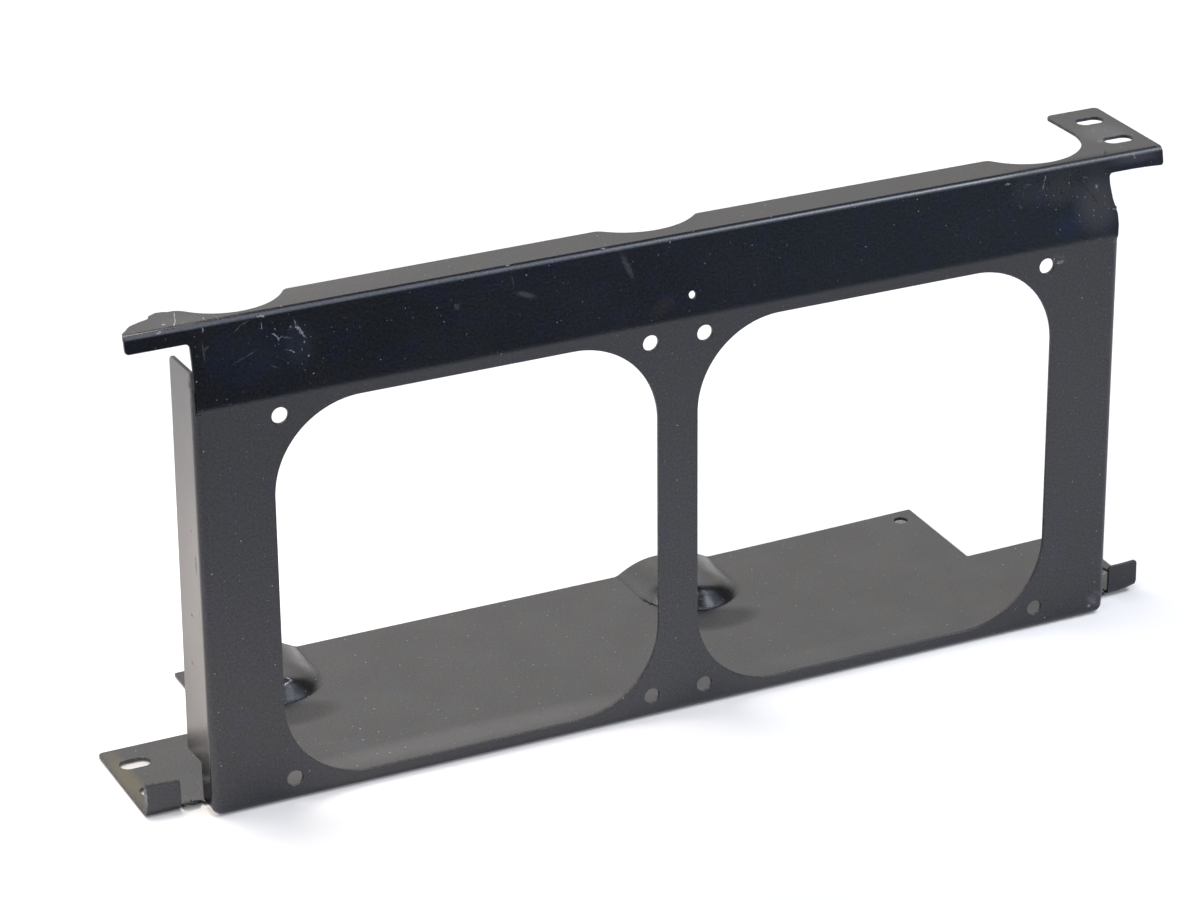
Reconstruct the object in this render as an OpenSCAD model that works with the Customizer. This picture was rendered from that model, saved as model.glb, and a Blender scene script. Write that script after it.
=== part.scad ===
// Twin fan mounting plate, cut and folded from one piece of thin steel sheet.
//
// The modules draw it in plate coordinates: X to the right with 0 midway
// between the fans, Y backwards from the panel's front face, Z up from the
// shelf's underside. The finished plate is then moved so that the origin is
// the bottom centre of its bounding box. All sizes are millimetres.
//
// Going round the sheet from the back: shelf, square fold, fan panel, shallow
// knee fold, leaning band, top fold, top flange. The panel's two sides fold
// back into side flanges, and each end of the shelf and of the top flange
// runs on outwards as a slotted ear.

/* [Sheet] */
// Thickness of the sheet
sheet_t = 1.0; // [0.8:0.1:1.5]
// Inside radius of the square folds
fold_r = 1.0; // [0.5:0.1:1.6]
// Inside radius of the shallow knee fold under the band
knee_r = 8; // [4:1:12]

/* [Fans] */
// Side of the square that the four fan screw holes make
fan_hole_span = 105; // [71.5:0.1:125]
// Diameter of a fan screw hole
fan_hole_d = 4.5; // [3.5:0.1:5.5]
// How far the opening's straight sides lie outside the square of holes
opening_spare = 2.1; // [0:0.1:2.5]
// Corner radius of a fan opening
opening_r = 24.5; // [22:0.5:30]
// How far the openings sit below the fan centres
opening_drop = 0.3; // [0:0.1:0.6]

/* [Panel] */
// Width of the web between the two openings
web_w = 11.8; // [10:0.1:20]
// Width of the panel beside each opening
side_rim = 21.1; // [18:0.1:30]
// Height of the rim below the openings
low_rim = 4; // [3:0.1:12]
// Height of the rim between the openings and the knee fold
high_rim = 3.8; // [3.2:0.1:12]

/* [Leaning band] */
// Height of the band, from the knee fold to the top of the flange
band_h = 21.5; // [19:0.5:30]
// Angle that the band leans back from upright
band_lean = 13; // [8:1:18]
// Width of the slits between the band and the side flanges
slit_w = 0.3; // [0.2:0.1:0.6]
// Diameter of the small hole in the band
band_hole_d = 2.1; // [1.5:0.1:4]
// Distance of that hole to the right of the middle
band_hole_x = 4.9; // [-20:0.1:20]
// Distance of that hole up the band from the knee
band_hole_rise = 5.6; // [4:0.1:10]

/* [Side flanges] */
// Depth of a side flange behind the panel's front face
side_d = 16.5; // [12:0.5:24]
// Rise of a side flange's top edge above the knee fold
side_rise = 8.9; // [5:0.1:11]
// Height of a side flange's lower edge, above the ear
side_low_z = 13.1; // [11:0.1:20]
// Depth of the foot that runs on down at the fold
foot_d = 8; // [4:0.5:8]
// Radius of the top rear corner of a side flange
side_corner_r = 2; // [1:0.5:5]
// Distance of the upper end's front edge behind the panel's front face
side_tip_y = 0.6; // [0.2:0.1:1.5]

/* [Top flange] */
// Depth of the flange's rear edge behind the panel's front face
flange_d = 16.9; // [14:0.1:22]
// Radius of the two end scallops, which give a screwdriver room
scallop_r = 17; // [14:0.5:18]
// Distance of the end scallops' middles inwards from the plate's sides
end_scallop_in = 17.8; // [17:0.1:30]
// Depth left in front of an end scallop
end_scallop_floor = 8.5; // [8:0.1:11]
// Radius of the middle scallop
mid_scallop_r = 20; // [14:0.5:24]
// Offset of the middle scallop
mid_scallop_x = -0.8; // [-5:0.1:5]
// Depth left in front of the middle scallop
mid_scallop_floor = 11.1; // [8:0.1:12]
// Radius of the soft corners where a scallop meets the rear edge
scallop_corner_r = 4; // [1:0.5:5]

/* [Upper ears] */
// Reach of the upper ears beyond the plate's sides
upper_ear_w = 15.7; // [14:0.1:20]
// Depth of the right ear behind the panel's front face
upper_ear_d = 40.2; // [38:0.1:50]
// Height of the lip that the band leaves under each upper ear
upper_lip_h = 4.7; // [3.8:0.1:6]
// Distance of the right ear's slots from its outer edge
upper_slot_in = 8; // [6:0.1:10]
// Distance of its rear slot from its rear edge
upper_slot_rear = 8.9; // [6:0.1:9]
// Reach inwards and depth of each corner of the edge that cut the left ear short
snipped_edge = [[0, 6.2], [1.5, 8.4], [4.2, 11.4], [9.2, 12.8], [10.2, 14.4], [14.2, 17.3]];

/* [Lower ears] */
// Reach of the lower ears beyond the plate's sides
lower_ear_w = 16; // [14:0.1:20]
// Depth of the lower ears' rear edge behind the panel's front face
lower_ear_d = 45.8; // [43:0.1:60]
// Depth of the lower ears' front edge
lower_ear_y = 8.2; // [8.2:0.1:9]
// Depth of the turned up lip's front face
lower_lip_y = 7.6; // [6:0.1:9]
// Height of the turned up lip, from the underside
lower_lip_h = 10; // [6:0.5:12]
// Width of the turned up lip
lower_lip_w = 9.9; // [8:0.1:12]
// Distance of the lower ears' slots from their outer edge
lower_slot_in = 7; // [6:0.1:9]
// Distance of their rear slots from their rear edge
lower_slot_rear = 9.7; // [6:0.1:11]
// Radius of the ears' free corners
ear_corner_r = 1.5; // [0.5:0.5:2.5]

/* [Slots] */
// Width of a slot
slot_w = 5; // [4:0.1:6]
// Length of a slot, end to end
slot_l = 8.6; // [7:0.1:10]
// Distance between an ear's two slots
slot_pitch = 16; // [14:0.5:18]

/* [Shelf] */
// Depth from the panel's front face to the shelf's rear edge
plate_d = 80.9; // [70:0.1:100]
// How far the shelf steps in behind the ears, from the plate's sides
step_in = 18.7; // [10:0.1:24]
// Diameter of the hole in the shelf's right rear corner
shelf_hole_d = 4; // [3:0.1:6]
// Distance of that hole from the shelf's side edge
shelf_hole_side = 5.9; // [4:0.1:10]
// Distance of that hole from the shelf's rear edge
shelf_hole_rear = 5.5; // [4:0.1:10]

/* [Humps pressed into the shelf] */
// Width of a hump
hump_w = 30.3; // [24:0.1:34]
// Height of a hump above the shelf
hump_h = 4.6; // [3:0.1:7]
// Length of a hump, from its nose to the shelf's rear edge
hump_l = 30.3; // [20:0.1:40]
// Slope of the steep nose
hump_slope = 62; // [50:1:75]
// Offset of the right hump from the middle
hump_x = 34.7; // [30:0.1:40]
// Distance between the two humps
hump_pitch = 130.3; // [125:0.1:132]

/* [Hidden] */
$fn = 96;
over = 1;                                   // how far a cut runs past a face
outer_r = fold_r + sheet_t;                 // outside radius of a square fold
knee_outer_r = knee_r + sheet_t;
opening_w = fan_hole_span + 2 * opening_spare;
fan_pitch = opening_w + web_w;
fan_z = low_rim + opening_w / 2 + opening_drop;
panel_w = fan_pitch + opening_w + 2 * side_rim;
knee_z = low_rim + opening_w + high_rim;
plate_h = knee_z + band_h;
panel_half = panel_w / 2 - outer_r;         // the panel is flat this far out
panel_top = knee_z - knee_outer_r * tan(band_lean / 2);  // and this far up
top_y = band_h * tan(band_lean);            // where the band's front face meets the flange's top
flange_y = top_y + outer_r * tan(45 - band_lean / 2);    // the flange is flat from here back
band_half = panel_w / 2 - sheet_t - slit_w;
lip_low = plate_h - upper_lip_h;
notch_r = 1.2;                              // inside corner between band and upper ear
lip_corner_r = 1;                           // outer lower corner of an upper lip
side_top_z = knee_z + side_rise;
end_scallop_x = panel_w / 2 - end_scallop_in;
step_x = panel_w / 2 - step_in;
upper_half = panel_w / 2 + upper_ear_w;
lower_half = panel_w / 2 + lower_ear_w;
upper_slot = [upper_half - upper_slot_in, upper_ear_d - upper_slot_rear];
lower_slot = [lower_half - lower_slot_in, lower_ear_d - lower_slot_rear];
hump_y = plate_d - hump_l;
ear_inner_x = end_scallop_x + scallop_r;    // the right ear's inner edge runs on from its scallop
sheet_color = [0.13, 0.13, 0.14];

// Flat shapes

module rounded_rect(w, h, r) {
    square([w - 2 * r, h], center = true);
    square([w, h - 2 * r], center = true);
    for (x = [-1, 1], y = [-1, 1])
        translate([x * (w / 2 - r), y * (h / 2 - r)])
            circle(r);
}

module slot() {
    square([slot_l - slot_w, slot_w], center = true);
    for (side = [-1, 1])
        translate([side * (slot_l - slot_w) / 2, 0])
            circle(d = slot_w);
}

// What is taken off a square corner at the origin, lying in the first quadrant, to round it.
module corner_waste(r) {
    difference() {
        translate([-r, -r])
            square([r + over, r + over]);
        translate([-r, -r])
            circle(r);
        translate([-r - over, -r - over])
            square([over + r, over]);
    }
}

// The web that fills an inside corner at the origin, lying in the first quadrant.
module corner_web(r) {
    difference() {
        square(r);
        translate([r, r])
            circle(r);
    }
}

// A scallop cut into an edge that lies along X, with the waste above it. Its
// two corners are eased by circles that touch both the edge and the scallop.
module scallop(r, depth) {
    centre_y = r - depth;
    ease_y = -scallop_corner_r;
    reach = r + scallop_corner_r;
    ease_x = sqrt(reach * reach - pow(centre_y - ease_y, 2));
    translate([0, centre_y])
        circle(r);
    difference() {
        polygon([[-ease_x, over], [-ease_x, ease_y], [0, centre_y], [ease_x, ease_y], [ease_x, over]]);
        for (side = [-1, 1])
            translate([side * ease_x, ease_y])
                circle(scallop_corner_r);
    }
}

// The cross-section of a fold: a ring between two radii, from one angle to another.
module fold_section(inner_r, from, to) {
    outer = inner_r + sheet_t;
    far = 2 * outer;
    middle = (from + to) / 2;
    intersection() {
        difference() {
            circle(outer);
            circle(inner_r);
        }
        polygon([
            [0, 0],
            far * [cos(from), sin(from)],
            far * [cos(middle), sin(middle)],
            far * [cos(to), sin(to)]
        ]);
    }
}

// Ways to stand a flat shape up

// A section drawn in Y and Z, carried along X.
module along_x(from, to) {
    translate([from, 0, 0])
        rotate([90, 0, 90])
            linear_extrude(to - from)
                children();
}

module both_sides() {
    children();
    mirror([1, 0, 0])
        children();
}

// Outlines of the faces

module fan_cutouts() {
    for (side = [-1, 1])
        translate([side * fan_pitch / 2, fan_z]) {
            translate([0, -opening_drop])
                rounded_rect(opening_w, opening_w, opening_r);
            for (x = [-1, 1], z = [-1, 1])
                translate([x, z] * fan_hole_span / 2)
                    circle(d = fan_hole_d);
        }
}

// The panel, the band and the front of the upper ears, as seen from the front.
module front_outline() {
    difference() {
        union() {
            translate([-panel_half, 0])
                square([2 * panel_half, panel_top]);
            translate([-band_half, panel_top])
                square([2 * band_half, plate_h + over - panel_top]);
            translate([-upper_half, lip_low])
                square([2 * upper_half, plate_h + over - lip_low]);
            both_sides()
                translate([band_half, lip_low])
                    mirror([0, 1])
                        corner_web(notch_r);
        }
        both_sides()
            translate([upper_half, lip_low])
                mirror([0, 1])
                    corner_waste(lip_corner_r);
        fan_cutouts();
    }
}

module flange_outline() {
    difference() {
        union() {
            translate([-upper_half, flange_y])
                square([2 * upper_half, flange_d - flange_y]);
            translate([end_scallop_x, flange_y])
                square([scallop_r, end_scallop_floor + scallop_r - flange_y]);
        }
        for (side = [-1, 1])
            translate([side * end_scallop_x, end_scallop_floor + scallop_r])
                circle(scallop_r);
        translate([-end_scallop_x, flange_d])
            scallop(scallop_r, flange_d - end_scallop_floor);
        translate([end_scallop_x, flange_d])
            intersection() {
                scallop(scallop_r, flange_d - end_scallop_floor);
                translate([-2 * scallop_r, -flange_d])
                    square([2 * scallop_r, 2 * flange_d]);
            }
        translate([mid_scallop_x, flange_d])
            scallop(mid_scallop_r, flange_d - mid_scallop_floor);
        snipped_waste();
        right_slots();
    }
    right_ear_outline();
}

// What was cut off the left ear: everything behind and outside of the snipped edge.
module snipped_waste() {
    last = len(snipped_edge) - 1;
    polygon(concat(
        [[-upper_half - over, snipped_edge[0][1]]],
        [for (corner = snipped_edge) [corner[0] - upper_half, corner[1]]],
        [
            [snipped_edge[last][0] - upper_half, flange_d + over],
            [-upper_half - over, flange_d + over]
        ]
    ));
}

module right_ear_outline() {
    difference() {
        translate([ear_inner_x, flange_y])
            square([upper_half - ear_inner_x, upper_ear_d - flange_y]);
        translate([upper_half, upper_ear_d])
            corner_waste(ear_corner_r);
        translate([ear_inner_x, upper_ear_d])
            mirror([1, 0])
                corner_waste(ear_corner_r);
        right_slots();
    }
}

module right_slots() {
    for (row = [0, 1])
        translate(upper_slot - [0, row * slot_pitch])
            slot();
}

module shelf_outline() {
    difference() {
        union() {
            translate([-step_x, outer_r])
                square([2 * step_x, plate_d - outer_r]);
            translate([-panel_half, outer_r])
                square([2 * panel_half, lower_ear_d - outer_r]);
            translate([-lower_half, lower_ear_y])
                square([2 * lower_half, lower_ear_d - lower_ear_y]);
        }
        both_sides() {
            translate([lower_half, lower_ear_d])
                corner_waste(ear_corner_r);
            translate([lower_half - lower_lip_w, 0])
                square([lower_lip_w + over, lower_lip_y + outer_r]);
            for (row = [0, 1])
                translate(lower_slot - [0, row * slot_pitch])
                    slot();
        }
        translate([step_x - shelf_hole_side, plate_d - shelf_hole_rear])
            circle(d = shelf_hole_d);
    }
}

module side_outline() {
    translate([outer_r, outer_r])
        square([foot_d - outer_r, side_low_z - outer_r]);
    difference() {
        union() {
            translate([outer_r, side_low_z])
                square([side_d - outer_r, side_top_z - side_low_z]);
            translate([side_tip_y, panel_top])
                square([outer_r - side_tip_y, side_top_z - panel_top]);
        }
        translate([side_d, side_top_z])
            corner_waste(side_corner_r);
    }
}

// Pieces of the plate

// Points along an arc, for the shallow folds of the front's section.
function arc(centre, r, from, to, steps) =
    [for (i = [0:steps]) let (a = from + (to - from) * i / steps) centre + r * [cos(a), sin(a)]];

// The section of the sheet from the foot of the panel to the start of the flange.
module front_section() {
    knee_c = [knee_outer_r, panel_top];
    top_c = [flange_y, plate_h - outer_r];
    polygon(concat(
        [[0, outer_r]],
        arc(knee_c, knee_outer_r, 180, 180 - band_lean, 4),
        arc(top_c, outer_r, 180 - band_lean, 90, 10),
        arc(top_c, fold_r, 90, 180 - band_lean, 10),
        arc(knee_c, knee_r, 180 - band_lean, 180, 4),
        [[sheet_t, outer_r]]
    ));
}

module front() {
    difference() {
        intersection() {
            along_x(-upper_half, upper_half)
                front_section();
            translate([0, flange_y + over, 0])
                rotate([90, 0, 0])
                    linear_extrude(flange_y + 2 * over)
                        front_outline();
        }
        translate([band_hole_x, 0, knee_z])
            rotate([90 - band_lean, 0, 0])
                translate([0, band_hole_rise, -sheet_t - over])
                    cylinder(d = band_hole_d, h = sheet_t + 2 * over);
    }
}

module flange() {
    translate([0, 0, plate_h - sheet_t])
        linear_extrude(sheet_t)
            flange_outline();
}

module shelf() {
    linear_extrude(sheet_t)
        shelf_outline();
}

module shelf_fold() {
    along_x(-panel_half, panel_half)
        translate([outer_r, outer_r])
            fold_section(fold_r, 180, 270);
}

// The right side flange with its upright fold and the pressed corner below it.
module side_flange() {
    along_x(panel_w / 2 - sheet_t, panel_w / 2)
        side_outline();
    translate([panel_half, outer_r, outer_r])
        linear_extrude(panel_top - outer_r)
            fold_section(fold_r, -90, 0);
    translate([panel_half, outer_r, outer_r])
        intersection() {
            difference() {
                sphere(outer_r);
                sphere(fold_r);
            }
            translate([0, -outer_r, -outer_r])
                cube(outer_r);
        }
}

// The right lower ear's turned up lip and the fold that carries it.
module lower_lip() {
    from = lower_half - lower_lip_w;
    along_x(from, lower_half)
        translate([lower_lip_y + outer_r, outer_r])
            fold_section(fold_r, 180, 270);
    translate([from, lower_lip_y, outer_r])
        cube([lower_lip_w, sheet_t, lower_lip_h - outer_r]);
}

// A hump's form, a crown that runs back from a steep round nose, at a given
// distance inside its outer skin. Drawn round the middle of the nose.
module hump_form(inset, low, back) {
    crown_r = (hump_w * hump_w / 4 + hump_h * hump_h) / (2 * hump_h);
    crown_z = sheet_t + hump_h - crown_r;
    nose_r = hump_w / 2 + 0.35 - inset / sin(hump_slope);
    run = 1 / tan(hump_slope);
    high = hump_h + sheet_t + over;
    intersection() {
        translate([0, back, crown_z])
            rotate([90, 0, 0])
                cylinder(r = crown_r - inset, h = back + hump_w);
        union() {
            translate([0, 0, low])
                cylinder(
                    r1 = nose_r + (sheet_t - low) * run,
                    r2 = nose_r - (high - sheet_t) * run,
                    h = high - low
                );
            translate([-hump_w, 0, low])
                cube([2 * hump_w, back, high - low]);
        }
    }
}

module at_humps() {
    for (step = [0, 1])
        translate([hump_x - step * hump_pitch, hump_y + hump_w / 2, 0])
            children();
}

module mounting_plate() {
    hump_back = plate_d - hump_y - hump_w / 2;
    color(sheet_color)
        translate([0, -plate_d / 2, 0])
            difference() {
                union() {
                    shelf();
                    at_humps()
                        hump_form(0, sheet_t / 2, hump_back);
                    shelf_fold();
                    front();
                    flange();
                    both_sides() {
                        side_flange();
                        lower_lip();
                    }
                }
                at_humps()
                    hump_form(sheet_t, -over, hump_back + over);
            }
}

mounting_plate();
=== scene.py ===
"""Twin fan mounting plate of black painted sheet steel, on a white table.

The plate is one blank of thin sheet. Its outline and its holes are drawn flat, the flat
blank is filled with triangles, and a folding rule carries every point of it to its place
on the finished plate. Lengths in the classes are millimetres in plate coordinates: X to
the right, Y backwards from the panel's front face, Z up from the shelf's underside. The
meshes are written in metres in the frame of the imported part.
"""

from __future__ import annotations

import logging
import math
from dataclasses import dataclass, field
from enum import Enum

import bpy
import numpy as np
from mathutils import Matrix, Vector
from mathutils.geometry import delaunay_2d_cdt

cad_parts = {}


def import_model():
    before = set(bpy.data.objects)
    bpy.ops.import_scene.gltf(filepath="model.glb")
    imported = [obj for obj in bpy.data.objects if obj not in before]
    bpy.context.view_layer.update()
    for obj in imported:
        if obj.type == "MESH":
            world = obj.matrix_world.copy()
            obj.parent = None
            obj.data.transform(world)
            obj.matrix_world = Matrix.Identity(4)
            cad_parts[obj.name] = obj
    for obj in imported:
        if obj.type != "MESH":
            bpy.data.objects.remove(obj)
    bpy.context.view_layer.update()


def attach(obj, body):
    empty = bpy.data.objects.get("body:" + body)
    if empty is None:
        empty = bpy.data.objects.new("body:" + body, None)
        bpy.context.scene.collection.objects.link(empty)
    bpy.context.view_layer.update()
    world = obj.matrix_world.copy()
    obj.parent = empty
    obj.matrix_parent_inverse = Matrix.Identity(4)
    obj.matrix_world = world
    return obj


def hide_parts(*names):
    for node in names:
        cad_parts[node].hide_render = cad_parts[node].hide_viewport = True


LOG = logging.getLogger("fan_mounting_plate")
MM = 0.001
Socket = bpy.types.NodeSocket
Colour = tuple[float, float, float]

# A corner of a smaller radius, or of a larger half angle in radians, keeps its one point.
SHARP_R = 0.02
STRAIGHT = 1.56


class Side(Enum):
    """The two sides of the plate, as seen from the fans."""

    LEFT = -1
    RIGHT = 1


class Region(Enum):
    """The part of the blank that a point belongs to, which says how it is folded."""

    STRIP = 0
    SIDE_FLANGE = 1
    EAR_LIP = 2


def linked(name: str, data: bpy.types.ID) -> bpy.types.Object:
    """Puts data in the scene.

    Args:
        name: Name of the object.
        data: What it shows.

    Returns:
        The new object.
    """
    obj = bpy.data.objects.new(name, data)
    bpy.context.scene.collection.objects.link(obj)
    return obj


@dataclass(frozen=True)
class SheetSizes:
    """The plate's sizes in millimetres, and its angles in degrees."""

    thickness: float = 1.0
    fold_r: float = 1.5
    knee_r: float = 8.5
    lean: float = 13.0
    knee_z: float = 117.0
    top_z: float = 138.5
    rear_y: float = 80.9
    panel_half: float = 134.2
    band_half: float = 134.9
    band_wide: float = 136.2
    upper_half: float = 151.9
    lower_half: float = 152.2
    step_x: float = 117.5
    lower_ear_y: float = 45.8
    ear_front_y: float = 8.2
    lip_fold_y: float = 9.6
    lip_rise: float = 8.0
    lip_x: float = 142.35
    foot_y: float = 7.65
    side_y: float = 16.5
    side_low_z: float = 13.1
    side_top_z: float = 125.9
    ear_lip_low_z: float = 133.8
    flange_y: float = 16.9
    upper_ear_y: float = 40.2
    fan_x: float = 60.5
    fan_z: float = 58.9
    screw_half: float = 52.5
    screw_r: float = 2.25
    opening_z: float = 58.6
    opening_half: float = 54.6
    opening_r: float = 24.5
    slot_x: float = 145.2
    slot_length: float = 8.6
    slot_r: float = 2.5
    edge_r: float = 0.2


def arc(cx: float, cy: float, r: float, start: float, stop: float, step: float = 0.6) -> np.ndarray:
    """Points along a circle's arc: the centre plus r times the cosine and sine of the angle.

    Args:
        cx: Centre along the first axis.
        cy: Centre along the second axis.
        r: Radius.
        start: First angle in degrees.
        stop: Last angle in degrees.
        step: Longest chord.

    Returns:
        One row a point.
    """
    count = max(4, int(abs(math.radians(stop - start)) * r / step) + 1)
    a = np.radians(np.linspace(start, stop, count + 1))
    return np.stack([cx + r * np.cos(a), cy + r * np.sin(a)], 1)


def filleted(corners: list[tuple[float, float, float]]) -> np.ndarray:
    """An open line through corners, each eased by an arc of its own radius.

    The arc's tangent points lie r / tan(half the corner's angle) from the corner, and its
    centre lies on the corner's bisector.

    Args:
        corners: First coordinate, second coordinate and radius of each corner.

    Returns:
        One row a point.
    """
    out = [np.array([corners[0][:2]])]
    for (ax, ay, _), (bx, by, r), (cx, cy, _) in zip(corners, corners[1:], corners[2:]):
        b = np.array([bx, by])
        to_a = np.array([ax, ay]) - b
        to_c = np.array([cx, cy]) - b
        to_a /= np.linalg.norm(to_a)
        to_c /= np.linalg.norm(to_c)
        half = 0.5 * math.acos(float(np.clip(to_a @ to_c, -1, 1)))
        if r < SHARP_R or half > STRAIGHT:
            out.append(b[None])
            continue
        middle = (to_a + to_c) / np.linalg.norm(to_a + to_c)
        centre = b + middle * r / math.sin(half)
        first = b + to_a * r / math.tan(half) - centre
        last = b + to_c * r / math.tan(half) - centre
        turn = math.atan2(first[0] * last[1] - first[1] * last[0], first @ last)
        begin = math.degrees(math.atan2(first[1], first[0]))
        out.append(arc(*centre, r, begin, begin + math.degrees(turn), 0.35))
    out.append(np.array([corners[-1][:2]]))
    return np.concatenate(out)


@dataclass(frozen=True)
class Scallop:
    """A round bite out of the flange's rear edge that gives a screwdriver room."""

    x: float
    y: float
    r: float

    @property
    def floor(self) -> np.ndarray:
        """The scallop's foremost point."""
        return np.array([[self.x, self.y - self.r]])

    def floor_from(self, start: float) -> np.ndarray:
        """The arc from an angle on its right side to its foremost point."""
        return arc(self.x, self.y, self.r, start, -90, 0.7)

    def exit(self, side: Side, ease: float, edge: float) -> np.ndarray:
        """One half of the scallop, and the eased corner where it meets the edge.

        The easing circle touches the edge from below and the scallop from outside, so its
        centre is r + ease from the scallop's centre. The right half is the left half
        mirrored and run the other way, so that both follow the outline's course.

        Args:
            side: The half.
            ease: Radius of the corner.
            edge: Depth of the flange's rear edge there.

        Returns:
            Places across and depths, without the floor's point.
        """
        down = self.y - (edge - ease)
        over = math.sqrt((self.r + ease) ** 2 - down**2)
        meet = math.degrees(math.atan2(down, over))
        half = arc(self.x, self.y, self.r, -90, -180 + meet, 0.7)
        corner = arc(self.x - over, edge - ease, ease, meet, 90, 0.5)
        left = np.concatenate([half[1:], corner[1:]])
        if side is Side.LEFT:
            return left
        right = left[::-1].copy()
        right[:, 0] = 2 * self.x - right[:, 0]
        return right


class FoldingRule:
    """Carries points of the flat blank to their places on the folded plate.

    The strip runs from the shelf's rear edge, under the panel's foot, up the panel and the
    leaning band, and back along the top flange. It is a chain of straight runs and arcs:
    its heading turns evenly along each arc, and its place is the sum of its heading.
    """

    def __init__(self, sizes: SheetSizes) -> None:
        """Lays the chain of runs out.

        Args:
            sizes: The plate's sizes.
        """
        self.sizes = s = sizes
        lean = math.radians(s.lean)
        outer = s.fold_r + s.thickness / 2
        self.knee_back = knee_back = (s.knee_r + s.thickness / 2) * math.tan(lean / 2)
        top_back = outer * math.tan((math.pi / 2 - lean) / 2)
        band = (s.top_z - s.knee_z) / math.cos(lean)
        self.outer = outer
        self.quarter = s.fold_r * math.pi / 2
        self.flange_start_y = (s.top_z - s.knee_z) * math.tan(lean) + top_back
        # The last run, the flange's, is longer than its ears need.
        lengths = [
            s.rear_y - outer,
            self.quarter,
            s.knee_z - knee_back - outer,
            s.knee_r * lean,
            band - knee_back - top_back,
            s.fold_r * (math.pi / 2 - lean),
            60.0,
        ]
        curves = [0, 1 / s.fold_r, 0, 1 / s.knee_r, 0, 1 / s.fold_r, 0]
        knots = np.concatenate([[0], np.cumsum(lengths)])
        self.knots = knots - knots[2]
        self.curves = np.array(curves)
        heading = [-math.pi / 2]
        y = [s.rear_y]
        z = [s.thickness / 2]
        for length, curve in zip(lengths, curves):
            a = heading[-1]
            b = a + curve * length
            y.append(y[-1] + ((math.cos(a) - math.cos(b)) / curve if curve else math.sin(a) * length))
            z.append(z[-1] + ((math.sin(b) - math.sin(a)) / curve if curve else math.cos(a) * length))
            heading.append(b)
        self.heading = np.array(heading)
        self.y = np.array(y)
        self.z = np.array(z)
        self.lip_start = self.from_shelf(s.lip_fold_y)
        self.lip_end = self.lip_start + self.quarter + s.lip_rise

    def from_shelf(self, y: float | np.ndarray) -> float | np.ndarray:
        """Place along the strip of a point of the shelf at this depth."""
        return self.knots[1] - (y - self.outer)

    def from_panel(self, z: float | np.ndarray) -> float | np.ndarray:
        """Place along the strip of a point of the panel at this height."""
        return z - self.outer

    def from_band(self, z: float) -> float:
        """Place along the strip of a point of the band at this height."""
        rise = (z - self.sizes.knee_z) / math.cos(math.radians(self.sizes.lean))
        return self.knots[4] + rise - self.knee_back

    def from_flange(self, y: float | np.ndarray) -> float | np.ndarray:
        """Place along the strip of a point of the top flange or of its front fold.

        Args:
            y: The point's depth.

        Returns:
            Its place along; on the fold, by the angle that its depth gives.
        """
        y = np.asarray(y, float)
        turn = np.arccos(np.clip((self.flange_start_y - y) / self.outer, -1, 1))
        on_fold = self.knots[6] - self.sizes.fold_r * (math.pi / 2 - turn)
        return np.where(y >= self.flange_start_y, self.knots[6] + y - self.flange_start_y, on_fold)

    def regions(self, u: np.ndarray, s: np.ndarray) -> np.ndarray:
        """Names the region of each point of the blank; the limits lie in the gaps between regions.

        Args:
            u: Places across the blank.
            s: Places along the strip.

        Returns:
            Region values as integers.
        """
        z = self.sizes
        side = (np.abs(u) > z.panel_half) & (s > self.knots[1] - 1) & (s < self.from_panel(z.side_top_z) + 2)
        side &= (s < self.knots[3] - 0.2) | (u < -z.band_half - 0.2) | (u > z.band_wide + 0.25)
        lip = (s > self.lip_start) & (s < self.lip_end + 1) & (np.abs(u) > z.lip_x - 0.08)
        stub = (s > self.lip_start) & (s < self.knots[1] - 1.5) & (u < -136.3)
        out = np.where(side, Region.SIDE_FLANGE.value, Region.STRIP.value)
        return np.where(lip | stub, Region.EAR_LIP.value, out)

    def place(self, u: np.ndarray, s: np.ndarray, depth: np.ndarray, region: np.ndarray) -> np.ndarray:
        """Folds points of the blank.

        A point's place is the place of the sheet's middle there, minus the outward normal
        times its depth below that middle.

        Args:
            u: Places across the blank.
            s: Places along the strip.
            depth: 0 on the outer skin, 1 on the inner one.
            region: Region values.

        Returns:
            X, Y and Z in plate coordinates, one row a point.
        """
        z = self.sizes
        lift = (0.5 - depth) * z.thickness
        i = np.clip(np.searchsorted(self.knots, s, side="right") - 1, 0, len(self.curves) - 1)
        run = s - self.knots[i]
        curve = self.curves[i]
        a = self.heading[i]
        b = a + curve * run
        bent = np.abs(curve) > 0
        safe = np.where(bent, curve, 1.0)
        y = self.y[i] + np.where(bent, (np.cos(a) - np.cos(b)) / safe, np.sin(a) * run)
        h = self.z[i] + np.where(bent, (np.sin(b) - np.sin(a)) / safe, np.cos(a) * run)
        strip = np.stack([u, y - lift * np.cos(b), h + lift * np.sin(b)], 1)

        sign = np.sign(u)
        v = np.abs(u) - z.panel_half
        turn = np.clip(v / z.fold_r, 0, math.pi / 2)
        r = z.fold_r + lift
        flat = np.maximum(v - self.quarter, 0)
        side = np.stack([
            sign * (z.panel_half + r * np.sin(turn)),
            self.outer - r * np.cos(turn) + flat,
            self.outer + s,
        ], 1)

        # Below the panel's foot the upright fold and the shelf's fold run together into a ball.
        reach = np.hypot(v, s) / z.fold_r
        way = np.arctan2(-s, v)
        ball = np.stack([
            sign * (z.panel_half + r * np.sin(reach) * np.cos(way)),
            self.outer - r * np.cos(reach),
            self.outer - r * np.sin(reach) * np.sin(way),
        ], 1)
        side = np.where((s < 0)[:, None], ball, side)

        w = s - self.lip_start
        turn = np.clip(w / z.fold_r, 0, math.pi / 2)
        flat = np.maximum(w - self.quarter, 0)
        lip = np.stack([
            u,
            z.lip_fold_y - r * np.sin(turn),
            self.outer - r * np.cos(turn) + flat,
        ], 1)

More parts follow.
